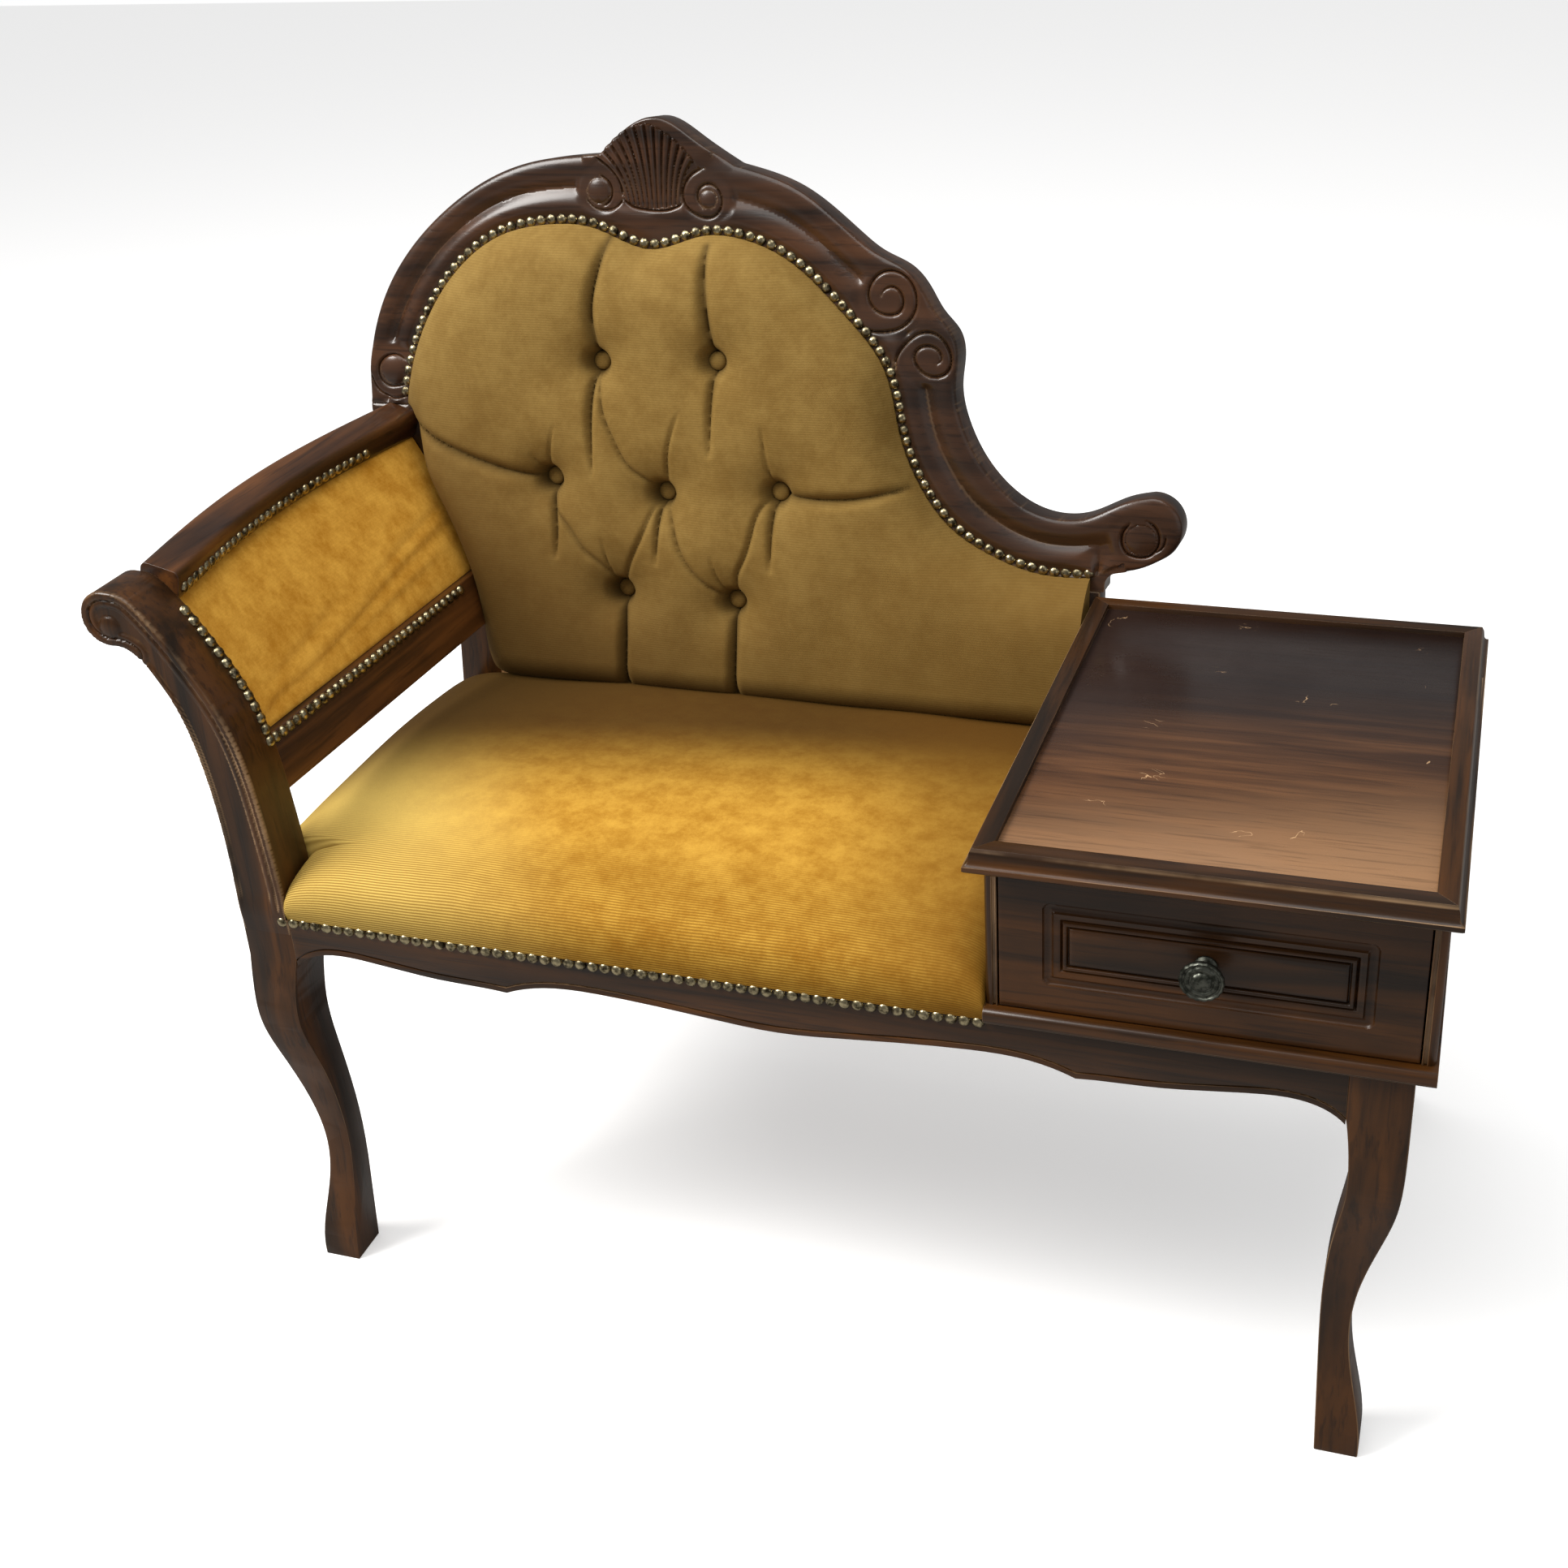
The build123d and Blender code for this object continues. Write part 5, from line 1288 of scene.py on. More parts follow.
@dataclass
class CarvedArch:
    """The carved frame of the back: bead by the nails, hollow, rim, volutes and scallop.

    The run moulding has five stations between the nails and the outer edge, and falls or rises between them.
    """

    finishes: Finishes
    cell: float = 2.0
    fine: float = 0.95
    edge_pitch: float = 1.6
    edge_round: float = 3.0
    edge_lines: tuple = (0.7, 1.7, 3.0)
    valley_snap: float = 0.9
    groove_snap: float = 0.45
    stations: tuple = (2.0, 13.0, 29.0, 47.0, 58.0)
    falls: tuple = (3.2, 5.8, 4.2, 5.1)
    shell_sides: tuple = (-326.0, -314.0, -200.0, -184.0)
    shell_start: tuple = (14.0, 24.0)
    post_right: float = -480.0
    post_blend: tuple = (296.0, 304.0)
    rebate: float = 18.0
    nails_out: float = 8.4
    post_top: float = 286.0
    ground: float = 1.2
    ribs: int = 12
    valley: float = 1.6
    rib_foot: float = 2.2
    rib_rise: float = 3.2
    lip: float = 2.6
    scallop: tuple = ((-322.0, 480.0), (-196.0, 572.0))
    scallop_net: tuple = (121, 61)
    scallop_foot: tuple = (-254.0, 27.0, 489.0, 5.0)
    scallop_belly: tuple = (-254.5, 28.5, 523.0, -5.0)
    rib_sharp: float = 1.2
    edge_blend: tuple = (0.96, 1.04)
    side_blend: tuple = (0.97, 1.25)
    eye_ground: float = 1.2
    eye_blend: float = 0.72
    groove_end: float = 0.08
    groove_least: float = 0.25
    stile: Points = field(
        default_factory=lambda: [(-563, 286), (-561, 333), (-536, 408), (-472, 480), (-384, 526), (-305, 536)]
    )
    shell_top: Points = field(
        default_factory=lambda: [(-305, 536), (-281, 557), (-250, 569), (-215, 552), (-176, 528)]
    )
    crest: Points = field(
        default_factory=lambda: [
            (-176, 528), (-120, 510), (-62, 468), (-42, 454), (-17, 442), (0, 424), (14, 402), (28, 386),
            (33, 366), (31, 340), (38, 305), (69, 255), (115, 227), (152, 228), (189, 245), (210, 250),
        ]
    )
    tip: tuple = (239, 221)
    under: Points = field(default_factory=lambda: [(224, 196), (200, 184), (183, 180)])
    stub_x: float = 172.0
    stub_w: float = 161.6
    stub_left: float = 128.3
    stub_turn: tuple = ((175.0, 176.0), (172.0, 168.0))

    def outline(self) -> tuple[np.ndarray, np.ndarray, np.ndarray]:
        """Draws the arch on the leaning plane.

        Returns:
            The closed outline, its outer line and the nail line.
        """
        arch = smooth_line(NAIL_ARCH, 260)
        inner = beside(arch, self.rebate)
        inner = inner[inner[:, 0] < self.stub_left]
        outer = np.vstack([
            smooth_line(self.stile, 60),
            smooth_line(self.shell_top, 30)[1:],
            smooth_line(self.crest, 120)[1:],
            arc(self.crest[-1], self.tip, self.under[0], 22)[1:],
            smooth_line(self.under, 10)[1:],
            arc(self.under[-1], *self.stub_turn, 6)[1:],
        ])
        right, left, low = self.stub_x, self.stub_left, self.stub_w
        foot = np.array([(right, low), (left, low), (left, inner[-1, 1])])
        loop = np.vstack([outer, foot, inner[::-1], [(inner[0, 0], self.post_top)]])
        return even(closed(loop), self.edge_pitch)[:-1], outer, beside(arch, -self.nails_out)[::2]

    def near_carving(self, points: np.ndarray) -> np.ndarray:
        """Says which points lie where the carving is fine."""
        (x0, w0), (x1, w1) = self.scallop
        found = (points[:, 0] > x0) & (points[:, 0] < x1) & (points[:, 1] > w0) & (points[:, 1] < w1)
        for eye in EYES:
            found |= np.hypot(points[:, 0] - eye.x, points[:, 1] - eye.w) < eye.flat
        return found

    def net(self, loop: np.ndarray, outer: np.ndarray, nails: np.ndarray) -> np.ndarray:
        """Points to carve on, drawn on to the valley and the grooves where they are near.

        Args:
            loop: Closed outline.
            outer: Outer line of the arch.
            nails: Line of the nails.

        Returns:
            Rows of plane points inside the outline.
        """
        wide, close = honeycomb(loop, self.cell), honeycomb(loop, self.fine)
        points = np.vstack([wide[~self.near_carving(wide)], close[self.near_carving(close)]])
        points = points[distance(points, closed(loop)) > self.edge_lines[0]]
        beads = [even(beside(outer, d), self.edge_pitch)[3:-3] for d in self.edge_lines]
        points = np.vstack([points, *beads])
        near, near_foot, _ = nearest(points, nails)
        rim, rim_foot, _ = nearest(points, outer)
        from_nails = (points - near_foot) / np.maximum(near, 1e-6)[:, None]
        slope = from_nails - (points - rim_foot) / np.maximum(rim, 1e-6)[:, None]
        off = near - rim
        steep = np.maximum((slope**2).sum(1), 0.5)
        onto = (np.abs(off) < self.valley_snap * self.cell) & ~self.near_carving(points)
        points[onto] -= (off / steep)[onto, None] * slope[onto]
        for groove in GROOVES:
            away, foot, _ = nearest(points, smooth_line(groove.points, 60), self.fine)
            onto = away < self.groove_snap * self.fine
            points[onto] = foot[onto]
        return points[inside(points, loop)]

    def moulding(self, points: np.ndarray, near: np.ndarray, rim: np.ndarray) -> np.ndarray:
        """Height of the run moulding and of the flattened ground round the volutes.

        Args:
            points: Plane points.
            near: Distance of each from the nails.
            rim: Distance of each from the outer edge.

        Returns:
            One height per point.
        """
        s = self.stations[-1] * near / np.maximum(near + rim, 1e-6)
        share = [np.clip((s - a) / (b - a), 0, 1) for a, b in zip(self.stations, self.stations[1:])]
        bead, hollow, band, rim_fall = self.falls
        section = bead * np.sin(QUARTER * share[0]) - hollow * (1 - np.cos(QUARTER * share[1]))
        section += band * np.sin(QUARTER * share[2])
        section -= rim_fall * (1 - hump(share[3]))
        flat = np.zeros(len(points))
        for eye in EYES:
            r = np.hypot(points[:, 0] - eye.x, points[:, 1] - eye.w)
            flat = np.maximum(flat, 1 - step(r, eye.flat * self.eye_blend, eye.flat))
        x, w = points.T
        left, on, off, right = self.shell_sides
        shell = step(x, left, on) * (1 - step(x, off, right)) * step(s, *self.shell_start)
        flat = np.maximum(flat, shell)
        flat = np.maximum(flat, np.where(x < self.post_right, 1 - step(w, *self.post_blend), 0))
        level = self.ground - quarter_round(rim, self.edge_round)
        return section * (1 - flat) + level * flat

    def scallop_place(self, points: np.ndarray) -> tuple[np.ndarray, np.ndarray]:
        """Where points lie on the scallop.

        Args:
            points: Plane points.

        Returns:
            Place from side to side, -1 to 1, and from foot to edge, 0 to 1.
        """
        across, upward = self.scallop_net
        u, v = np.linspace(-1, 1, across), np.linspace(0, 1, upward)
        foot, belly = (
            np.column_stack([x + half * u, w + lift * u**2])
            for x, half, w, lift in (self.scallop_foot, self.scallop_belly)
        )
        vv = v[:, None, None]
        net = (1 - vv) ** 2 * foot + 2 * (1 - vv) * vv * belly + vv**2 * smooth_line(SHELL_EDGE, across)
        tree = KDTree(net.shape[0] * net.shape[1])
        for i, (x, w) in enumerate(net.reshape(-1, 2)):
            tree.insert((x, w, 0.0), i)
        tree.balance()
        j, i = np.divmod(np.array([tree.find((x, w, 0.0))[1] for x, w in points]), across)
        a, b = np.gradient(net, u, axis=1)[j, i], np.gradient(net, v, axis=0)[j, i]
        off = points - net[j, i]
        det = a[:, 0] * b[:, 1] - a[:, 1] * b[:, 0]
        side = u[i] + (off[:, 0] * b[:, 1] - off[:, 1] * b[:, 0]) / det
        return side, v[j] + (a[:, 0] * off[:, 1] - a[:, 1] * off[:, 0]) / det

    def relief(self, points: np.ndarray, outer: np.ndarray, nails: np.ndarray) -> np.ndarray:
        """Height of the carving over the sawn face.

        Args:
            points: Plane points.
            outer: Outer line of the arch.
            nails: Line of the nails.

        Returns:
            One height per point, in millimetres.
        """
        near, rim = distance(points, nails), distance(points, outer)
        height = self.moulding(points, near, rim)
        (x0, w0), (x1, _) = self.scallop
        close = np.flatnonzero((points[:, 0] > x0) & (points[:, 0] < x1) & (points[:, 1] > w0))
        side, up = self.scallop_place(points[close])
        on = (np.abs(side) <= 1) & (up >= 0) & (up <= 1.0)
        rib = hump(2 * (((side + 1) / 2 * self.ribs) % 1) - 1) ** self.rib_sharp
        carved = self.ground - self.valley + (self.rib_foot + self.rib_rise * np.clip(up, 0, 1)) * rib
        edge = quarter_round(rim[close], self.edge_round)
        beyond = step(up, *self.edge_blend) * (1 - step(np.abs(side), *self.side_blend))
        outside = beyond * (self.lip - edge) + (1 - beyond) * height[close]
        height[close] = np.where(on, carved - edge, outside)
        deepest = np.zeros(len(points))
        for groove in GROOVES:
            away, _, along = nearest(points, smooth_line(groove.points, 60), groove.width)
            taper = step(along, 0, self.groove_end) * (1 - step(along, 1 - self.groove_end, 1.0))
            cut = groove.depth * (1 - hump(1 - np.clip(away / (groove.width / 2), 0, 1)))
            deepest = np.maximum(deepest, cut * at_least(self.groove_least, taper))
        height -= deepest
        for eye in EYES:
            if eye.radius:
                r = np.hypot(points[:, 0] - eye.x, points[:, 1] - eye.w) / eye.radius
                dome = self.ground - self.eye_ground + (eye.lift + self.eye_ground) * hump(r)
                height = np.where(r < 1, dome, height)
        own = distance(points, smooth_line(NAIL_ARCH, 130)) < near
        return np.where(own & (near < 2 * self.rebate), 0.0, height)

    def build(self) -> bpy.types.Object:
        """Makes the arch as one carved piece.

        Returns:
            The piece that stands for the four boards and the shell.
        """
        loop, outer, nails = self.outline()

        def to_rear(co: np.ndarray) -> np.ndarray:
            """Drops border points square on to the rear of the arch."""
            p = flat_on_rake(co)
            return place(raked(np.column_stack([p, np.full(len(p), -BACK_T)])))

        piece = carved_sheet(
            "carved_arch", loop, self.net(loop, outer, nails),
            lambda p: self.relief(p, outer, nails), lambda rows: place(raked(rows)), to_rear,
        )
        dress(piece, self.finishes.crest_wood)
        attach(piece, "bench")
        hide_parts("crest_left", "crest_segment", "crest_right", "back_ramp", "shell_carving")
        log.info("carved arch: %d faces", len(piece.data.polygons))
        return piece


@dataclass
class ArmSupport:
    """Carved face of the left front post: a lip and a bead that follow its scroll round, and the eye.

    Heights stand in front of the post's own face. Places are x and z in bench millimetres.
    """

    finishes: Finishes
    cell: float = 1.25
    pitch: float = 1.5
    over_arris: float = 0.15
    clear: float = 0.6
    inlet: float = 2.6
    proud: float = 2.4
    hollow: float = 0.3
    lip: tuple = (5.6, 7.0)
    bead: tuple = (10.2, 3.0, 0.5)
    band: tuple = (3.0, 5.4, 0.7)
    band_start: float = 13.2
    sunk: float = 1.0
    edge_round: float = 1.8
    fade: tuple = (340.0, 386.0)
    plain: tuple = (372.0, 398.0)
    arris_start: tuple = (-437.0, 373.0)
    arris_end: tuple = (-531.0, 612.0)
    eye: tuple = (-548.5, 634.0)
    eye_radius: float = 9.5
    eye_dome: tuple = (0.6, 2.6)

    def outline(self) -> np.ndarray:
        """Reads the post's flat front face and widens it over the post's rounded arris.

        Returns:
            Closed outline as rows of x and z, in bench millimetres.
        """
        copy = probe("front_leg_left")
        edit_all(copy)
        bpy.ops.mesh.dissolve_limited(angle_limit=COPLANAR)
        end_edit()
        face = max((f for f in copy.data.polygons if f.normal.y < -SQUARE_ON), key=lambda f: f.area)
        rows = (get_points(copy)[list(face.vertices)] - np.array(SHIFT)) / MM
        bpy.data.objects.remove(copy)
        loop = rows[:, [0, 2]]
        x, z = loop.T
        if np.sum(x * np.roll(z, -1) - np.roll(x, -1) * z) < 0:
            loop = loop[::-1]
        loop = even(closed(loop), self.pitch)[:-1]
        turn = np.roll(loop, -1, axis=0) - np.roll(loop, 1, axis=0)
        turn /= np.linalg.norm(turn, axis=1)[:, None]
        return loop + self.over_arris * np.column_stack([turn[:, 1], -turn[:, 0]])

    def relief(self, points: np.ndarray, inner: np.ndarray, loop: np.ndarray) -> np.ndarray:
        """Height of the carving in front of the post's face.

        Args:
            points: Rows of x and z.
            inner: Inner arris and the scroll's round.
            loop: Closed outline.

        Returns:
            One height per point, in millimetres.
        """
        d = distance(points, inner)
        rim = distance(points, closed(loop))
        lip = self.proud * (1 - step(d, *self.lip))
        at, half, lower = self.bead
        bead = (self.proud - lower) * hump((d - at) / half)
        start, end, lower = self.band
        band = (self.proud - lower) * (1 - step(rim, start, end)) * (d > self.band_start)
        height = np.maximum(np.maximum(lip, bead), self.hollow + band)
        r = np.hypot(points[:, 0] - self.eye[0], points[:, 1] - self.eye[1]) / self.eye_radius
        height = np.where(r < 1, self.eye_dome[0] + self.eye_dome[1] * hump(r), height)
        plain = 1 - step(points[:, 1], *self.plain)
        drop = step(points[:, 1], *self.fade)
        height = height * (1 - plain) + ((self.proud + self.sunk) * drop - self.sunk) * plain
        return height - quarter_round(rim, self.edge_round)

    def build(self) -> bpy.types.Object:
        """Makes the carved face.

        Returns:
            The piece, let into the post.
        """
        loop = self.outline()
        start = int(np.argmin(np.hypot(*(loop - self.arris_start).T)))
        ring = np.roll(loop, -start, axis=0)
        stop = int(np.argmin(np.hypot(*(ring - self.arris_end).T)))
        inner = ring[: stop + 1]
        points = honeycomb(loop, self.cell)
        points = points[distance(points, closed(loop)) > self.clear]
        rear = SHIFT.y + (FRAME_FRONT + self.inlet) * MM
        piece = carved_sheet(
            "carved_support", loop, points, lambda p: self.relief(p, inner, loop),
            lambda rows: place(np.column_stack([rows[:, 0], FRAME_FRONT - rows[:, 2], rows[:, 1]])),
            lambda co: np.column_stack([co[:, 0], np.full(len(co), rear), co[:, 2]]),
        )
        dress(piece, self.finishes.wood[Grain.UPRIGHT])
        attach(piece, "bench")
        log.info("carved support: %d faces", len(piece.data.polygons))
        return piece


@dataclass(frozen=True)
class Pleat:
    """A fold of the cloth from a button: its line, depth and width.

    A tied one ends at another button, a through one runs out at the pad's edge, and any other fades away.
    """

    line: tuple
    deep: float = 4.5
    wide: float = 5.0
    tied: bool = False
    through: bool = False

    def shares(self, along: np.ndarray) -> tuple[np.ndarray, np.ndarray]:
        """How much of the pleat is left on its way from the button.

        Args:
            along: Shares of the pleat's length.

        Returns:
            Share of its depth and share of its width.
        """
        if self.tied:
            return 0.75 + 0.25 * np.abs(2 * along - 1), 0.6 + 0.4 * (2 * along - 1) ** 2
        if self.through:
            return 0.85 + 0.15 * (1 - along), 0.55 + 0.45 * (1 - along) ** 2
        return (1 - along) ** 0.6, 0.3 + 0.7 * (1 - along) ** 2


TUFTS = (  # x, w, and how much deeper than usual each button is drawn in
    (-304, 352, 1), (-188, 357, -2), (-358, 240, 6), (-243, 232, 5), (-128, 240, -2), (-288, 135, 6),
    (-173, 133, 1),
)
PLEATS = (
    Pleat(((-304, 352), (-305, 365), (-308, 400), (-303, 430), (-296, 464)), 9, 9, through=True),
    Pleat(((-304, 352), (-308, 330), (-310, 290), (-308, 245)), 9, 8),
    Pleat(
        ((-304, 352), (-300, 325), (-296, 305), (-285, 280), (-272, 258), (-254, 243), (-243, 232)), tied=True
    ),
    Pleat(((-188, 357), (-190, 372), (-194, 400), (-197, 430), (-198, 458)), 9, 9, through=True),
    Pleat(((-188, 357), (-189, 335), (-190, 300), (-190, 270)), 8, 8),
    Pleat(((-243, 232), (-237, 245), (-233, 270), (-228, 290), (-218, 315))),
    Pleat(((-243, 232), (-246, 200), (-246, 165)), 9, 8),
    Pleat(((-243, 232), (-252, 215), (-262, 190), (-272, 170), (-281, 150), (-288, 135)), tied=True),
    Pleat(((-243, 232), (-232, 210), (-226, 190), (-215, 168), (-198, 150), (-173, 133)), tied=True),
    Pleat(((-358, 240), (-400, 247), (-450, 262), (-500, 284)), 7, 9, through=True),
    Pleat(((-358, 240), (-355, 260), (-350, 280), (-345, 295))),
    Pleat(((-358, 240), (-367, 255), (-375, 265))),
    Pleat(((-358, 240), (-352, 215), (-335, 195), (-320, 175), (-300, 158), (-288, 135)), tied=True),
    Pleat(((-358, 240), (-350, 200), (-349, 165)), 9, 9),
    Pleat(((-128, 240), (-118, 239), (-60, 239), (-8, 249)), 7, 9, through=True),
    Pleat(((-128, 240), (-134, 260), (-137, 285), (-139, 303))),
    Pleat(
        ((-128, 240), (-143, 225), (-150, 205), (-160, 175), (-167, 160), (-169, 145), (-173, 133)), tied=True
    ),
    Pleat(((-128, 240), (-131, 220), (-132, 165)), 8, 8),
    Pleat(((-288, 135), (-296, 160), (-301, 190))),
    Pleat(((-288, 135), (-284, 110), (-284, 60), (-284, 44)), 9, 8, through=True),
    Pleat(((-173, 133), (-187, 160), (-191, 180))),
    Pleat(((-173, 133), (-171, 110), (-171, 62), (-171, 44)), 9, 8, through=True),
)


@dataclass
class TuftedBack:
    """Deep-buttoned pad of the back."""

    finishes: Finishes
    thick: float = 50.0
    thinner: float = 10.0
    tall: float = 470.0
    edge: float = 3.0
    least: float = 6.0
    columns: int = 360
    rows: int = 250
    low: float = 38.0
    right: float = 159.0
    rim_out: float = 4.0
    rim_start: float = 300.0
    rim_rise: float = 20.0
    free_edge: float = 0.28
    free_roll: float = 30.0
    button: float = 8.5
    button_domes: tuple = (0.5, 0.35)
    bed: float = 6.0
    pit: float = 32.0
    dimple: tuple = ((0.47, 12.0, 4), (0.53, 26.0, 1.5))
    pit_shade: tuple = (9.0, 20.0)
    crease: float = 1.7
    crease_share: float = 0.6
    trough: tuple = (0.85, 0.28)
    valley: float = 22.0
    fold_shade: tuple = (2.0, 13.0)
    waves: tuple = ((0.5, 31.0, 47.0), (0.4, 17.0, -29.0))
    reach: float = 60.0
    board: float = 0.4
    snap: float = 0.8
    left: Points = field(
        default_factory=lambda: [
            (-410, 36), (-428, 42), (-437, 60), (-442, 98), (-452, 143), (-460, 165), (-478, 206),
            (-495, 246), (-507, 288),
        ]
    )

    def folds(self) -> list:
        """Draws every pleat from its button; each comes with its line on the leaning plane."""
        return [(pleat, smooth_line(pleat.line, 40)) for pleat in PLEATS]

    def sides(self) -> tuple[np.ndarray, np.ndarray, np.ndarray]:
        """Draws the pad's rim, left and bottom edges.

        Returns:
            The three lines, as fine rows of plane points.
        """
        rim = beside(smooth_line(NAIL_ARCH, 500), -self.rim_out)
        keep = (rim[:, 0] < self.right) & ((rim[:, 1] > self.rim_start) | (rim[:, 0] > self.left[0][0]))
        rim = np.vstack([rim[keep], [(self.right, rim[keep][-1, 1])]])
        left = smooth_line(self.left + [tuple(rim[0])], 300)
        bottom = np.array([self.left[0], (self.right, self.low - 2)])
        return rim, left, bottom

    def pits(self, p: np.ndarray) -> np.ndarray:
        """Depth of the dimples that the buttons draw into the pad, at plane points."""
        deepest = np.zeros(len(p))
        for x, w, deeper in TUFTS:
            r = np.hypot(p[:, 0] - x, p[:, 1] - w)
            hole = sum(share * np.exp(-((r / radius) ** power)) for share, radius, power in self.dimple)
            deepest = np.maximum(deepest, (self.pit + deeper) * hole)
        return deepest

    def pleating(self, p: np.ndarray) -> tuple[np.ndarray, np.ndarray, np.ndarray]:
        """Depths of the pleats.

        Args:
            p: Plane points.

        Returns:
            Depth of the sharp creases, of the troughs round them, and of the troughs' dark middles.
        """
        crease, trough, dark = np.zeros((3, len(p)))
        for pleat, line in self.folds():
            d, _, along = nearest(p, line, self.reach)
            fade, narrow = pleat.shares(along)
            deep = fade * pleat.deep
            sharp = np.exp(-((d / (pleat.wide * narrow)) ** 2))
            crease = np.maximum(crease, deep * np.exp(-d / self.crease))
            valley = np.exp(-((d / self.valley) ** 2))
            trough = np.maximum(trough, deep * (self.trough[0] * sharp + self.trough[1] * valley))
            dark = np.maximum(dark, deep * sharp)
        return crease, trough, dark

    def height(
        self, p: np.ndarray, rim: np.ndarray, left: np.ndarray, bottom: np.ndarray
    ) -> tuple[np.ndarray, np.ndarray]:
        """Thickness of the padding and the shade in its folds.

        Args:
            p: Plane points.
            rim: Nailed edge.
            left: Free left edge.
            bottom: Free bottom edge.

        Returns:
            One height per point in millimetres, and one shade from 0 to 1.
        """
        crown = self.thick - self.thinner * np.clip(p[:, 1] / self.tall, 0, 1)
        rise = 1 - np.exp(-distance(p, rim[::6]) / self.rim_rise)
        loose = np.minimum(distance(p, left[::6]), distance(p, bottom))
        roll = at_least(self.free_edge, hump(1 - np.clip(loose / self.free_roll, 0, 1)))
        pit = self.pits(p)
        crease, trough, dark = self.pleating(p)
        sink = np.sqrt(pit**2 + trough**2) + self.crease_share * crease
        # painted shade for the pits and the deep folds, which the back's material darkens
        (pit_from, pit_by), (fold_from, fold_by) = self.pit_shade, self.fold_shade
        shade = np.clip(np.maximum((pit - pit_from) / pit_by, (dark + crease - fold_from) / fold_by), 0, 1)
        full = np.maximum(crown - self.edge - sink + ripple(*p.T, self.waves), self.least)
        return self.edge + full * rise * roll, shade

    def spread(self, rim: np.ndarray, left: np.ndarray, bottom: np.ndarray) -> np.ndarray:
        """Spreads the pad's grid between its edges, with lines drawn on to the pleats.

        Args:
            rim: Nailed edge.
            left: Free left edge.
            bottom: Free bottom edge.

        Returns:
            Plane points, row by row.
        """
        fine = run(rim)
        fine /= fine[-1]
        across = (rim[:, 0] - rim[0, 0]) / (rim[-1, 0] - rim[0, 0])
        u = np.linspace(0, 1, self.columns + 1)
        t = np.interp(u, (fine + across) / 2, np.arange(len(rim)))
        top = np.column_stack([np.interp(t, np.arange(len(rim)), rim[:, i]) for i in (0, 1)])
        share = (np.interp(t, np.arange(len(rim)), across) + u) / 2
        base = bottom[0] + share[:, None] * (bottom[1] - bottom[0])
        v = np.linspace(0, 1, self.rows + 1)
        span = np.linspace(0, 1, len(left))
        side = np.column_stack([np.interp(v, span, left[:, i]) for i in (0, 1)])
        far = base[-1] + v[:, None] * (top[-1] - base[-1])
        uu, vv = u[None, :, None], v[:, None, None]
        plane = (1 - vv) * base[None] + vv * top[None] + (1 - uu) * side[:, None] + uu * far[:, None]
        plane -= (1 - vv) * ((1 - uu) * base[0] + uu * base[-1]) + vv * ((1 - uu) * top[0] + uu * top[-1])
        border = np.ones(plane.shape[:2], bool)
        border[1:-1, 1:-1] = False
        flat = plane.reshape(-1, 2)
        for _, line in self.folds():
            away, foot, _ = nearest(flat, line, 1.0)
            onto = (away < self.snap) & ~border.ravel()
            flat[onto] = foot[onto]
        return flat

    def build(self) -> None:
        """Makes the pad and its covered buttons."""
        edges = self.sides()
        flat = self.spread(*edges)
        heights, shade = self.height(flat, *edges)
        pad = grid("tufted_pad", self.columns, self.rows)
        set_points(pad, place(raked(np.column_stack([flat, heights]))))
        # the painted shade of the pits and folds goes to the material
        store(pad, "fold", shade)

        def to_board(co: np.ndarray) -> np.ndarray:
            """Drops border points square on to the back board."""
            p = flat_on_rake(co)
            return place(raked(np.column_stack([p, np.full(len(p), self.board)])))

        close_below(pad, to_board)
        smooth(pad, 75)
        dress(pad, self.finishes.back)
        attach(pad, "bench")
        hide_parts("back_cushion")
        log.info("tufted pad: %d faces", len(pad.data.polygons))
        self.buttons(edges)

    def buttons(self, edges: tuple) -> None:
        """Makes the covered buttons in their pits.

        Args:
            edges: The pad's rim, left and bottom edges.
        """
        deselect()
        bpy.ops.mesh.primitive_uv_sphere_add(segments=28, ring_count=14, radius=self.button * MM)
        model = bpy.context.object
        co = get_points(model)
        co[:, 2] *= np.where(co[:, 2] > 0, *self.button_domes)
        set_points(model, co)
        smooth(model, 60)
        places = []
        for x, w, _ in TUFTS:
            beside_it = np.array([[x + self.bed, w + self.bed]])
            at = place(raked(np.array([[x, w, self.height(beside_it, *edges)[0][0]]])))[0]
            places.append(standing(at, Vector((0, -math.cos(RAKE), math.sin(RAKE)))))
        buttons = copies(model, places, "covered_buttons")
        dress(buttons, self.finishes.back)
        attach(buttons, "bench")
        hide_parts("back_buttons")
        log.info("buttons: %d", len(places))


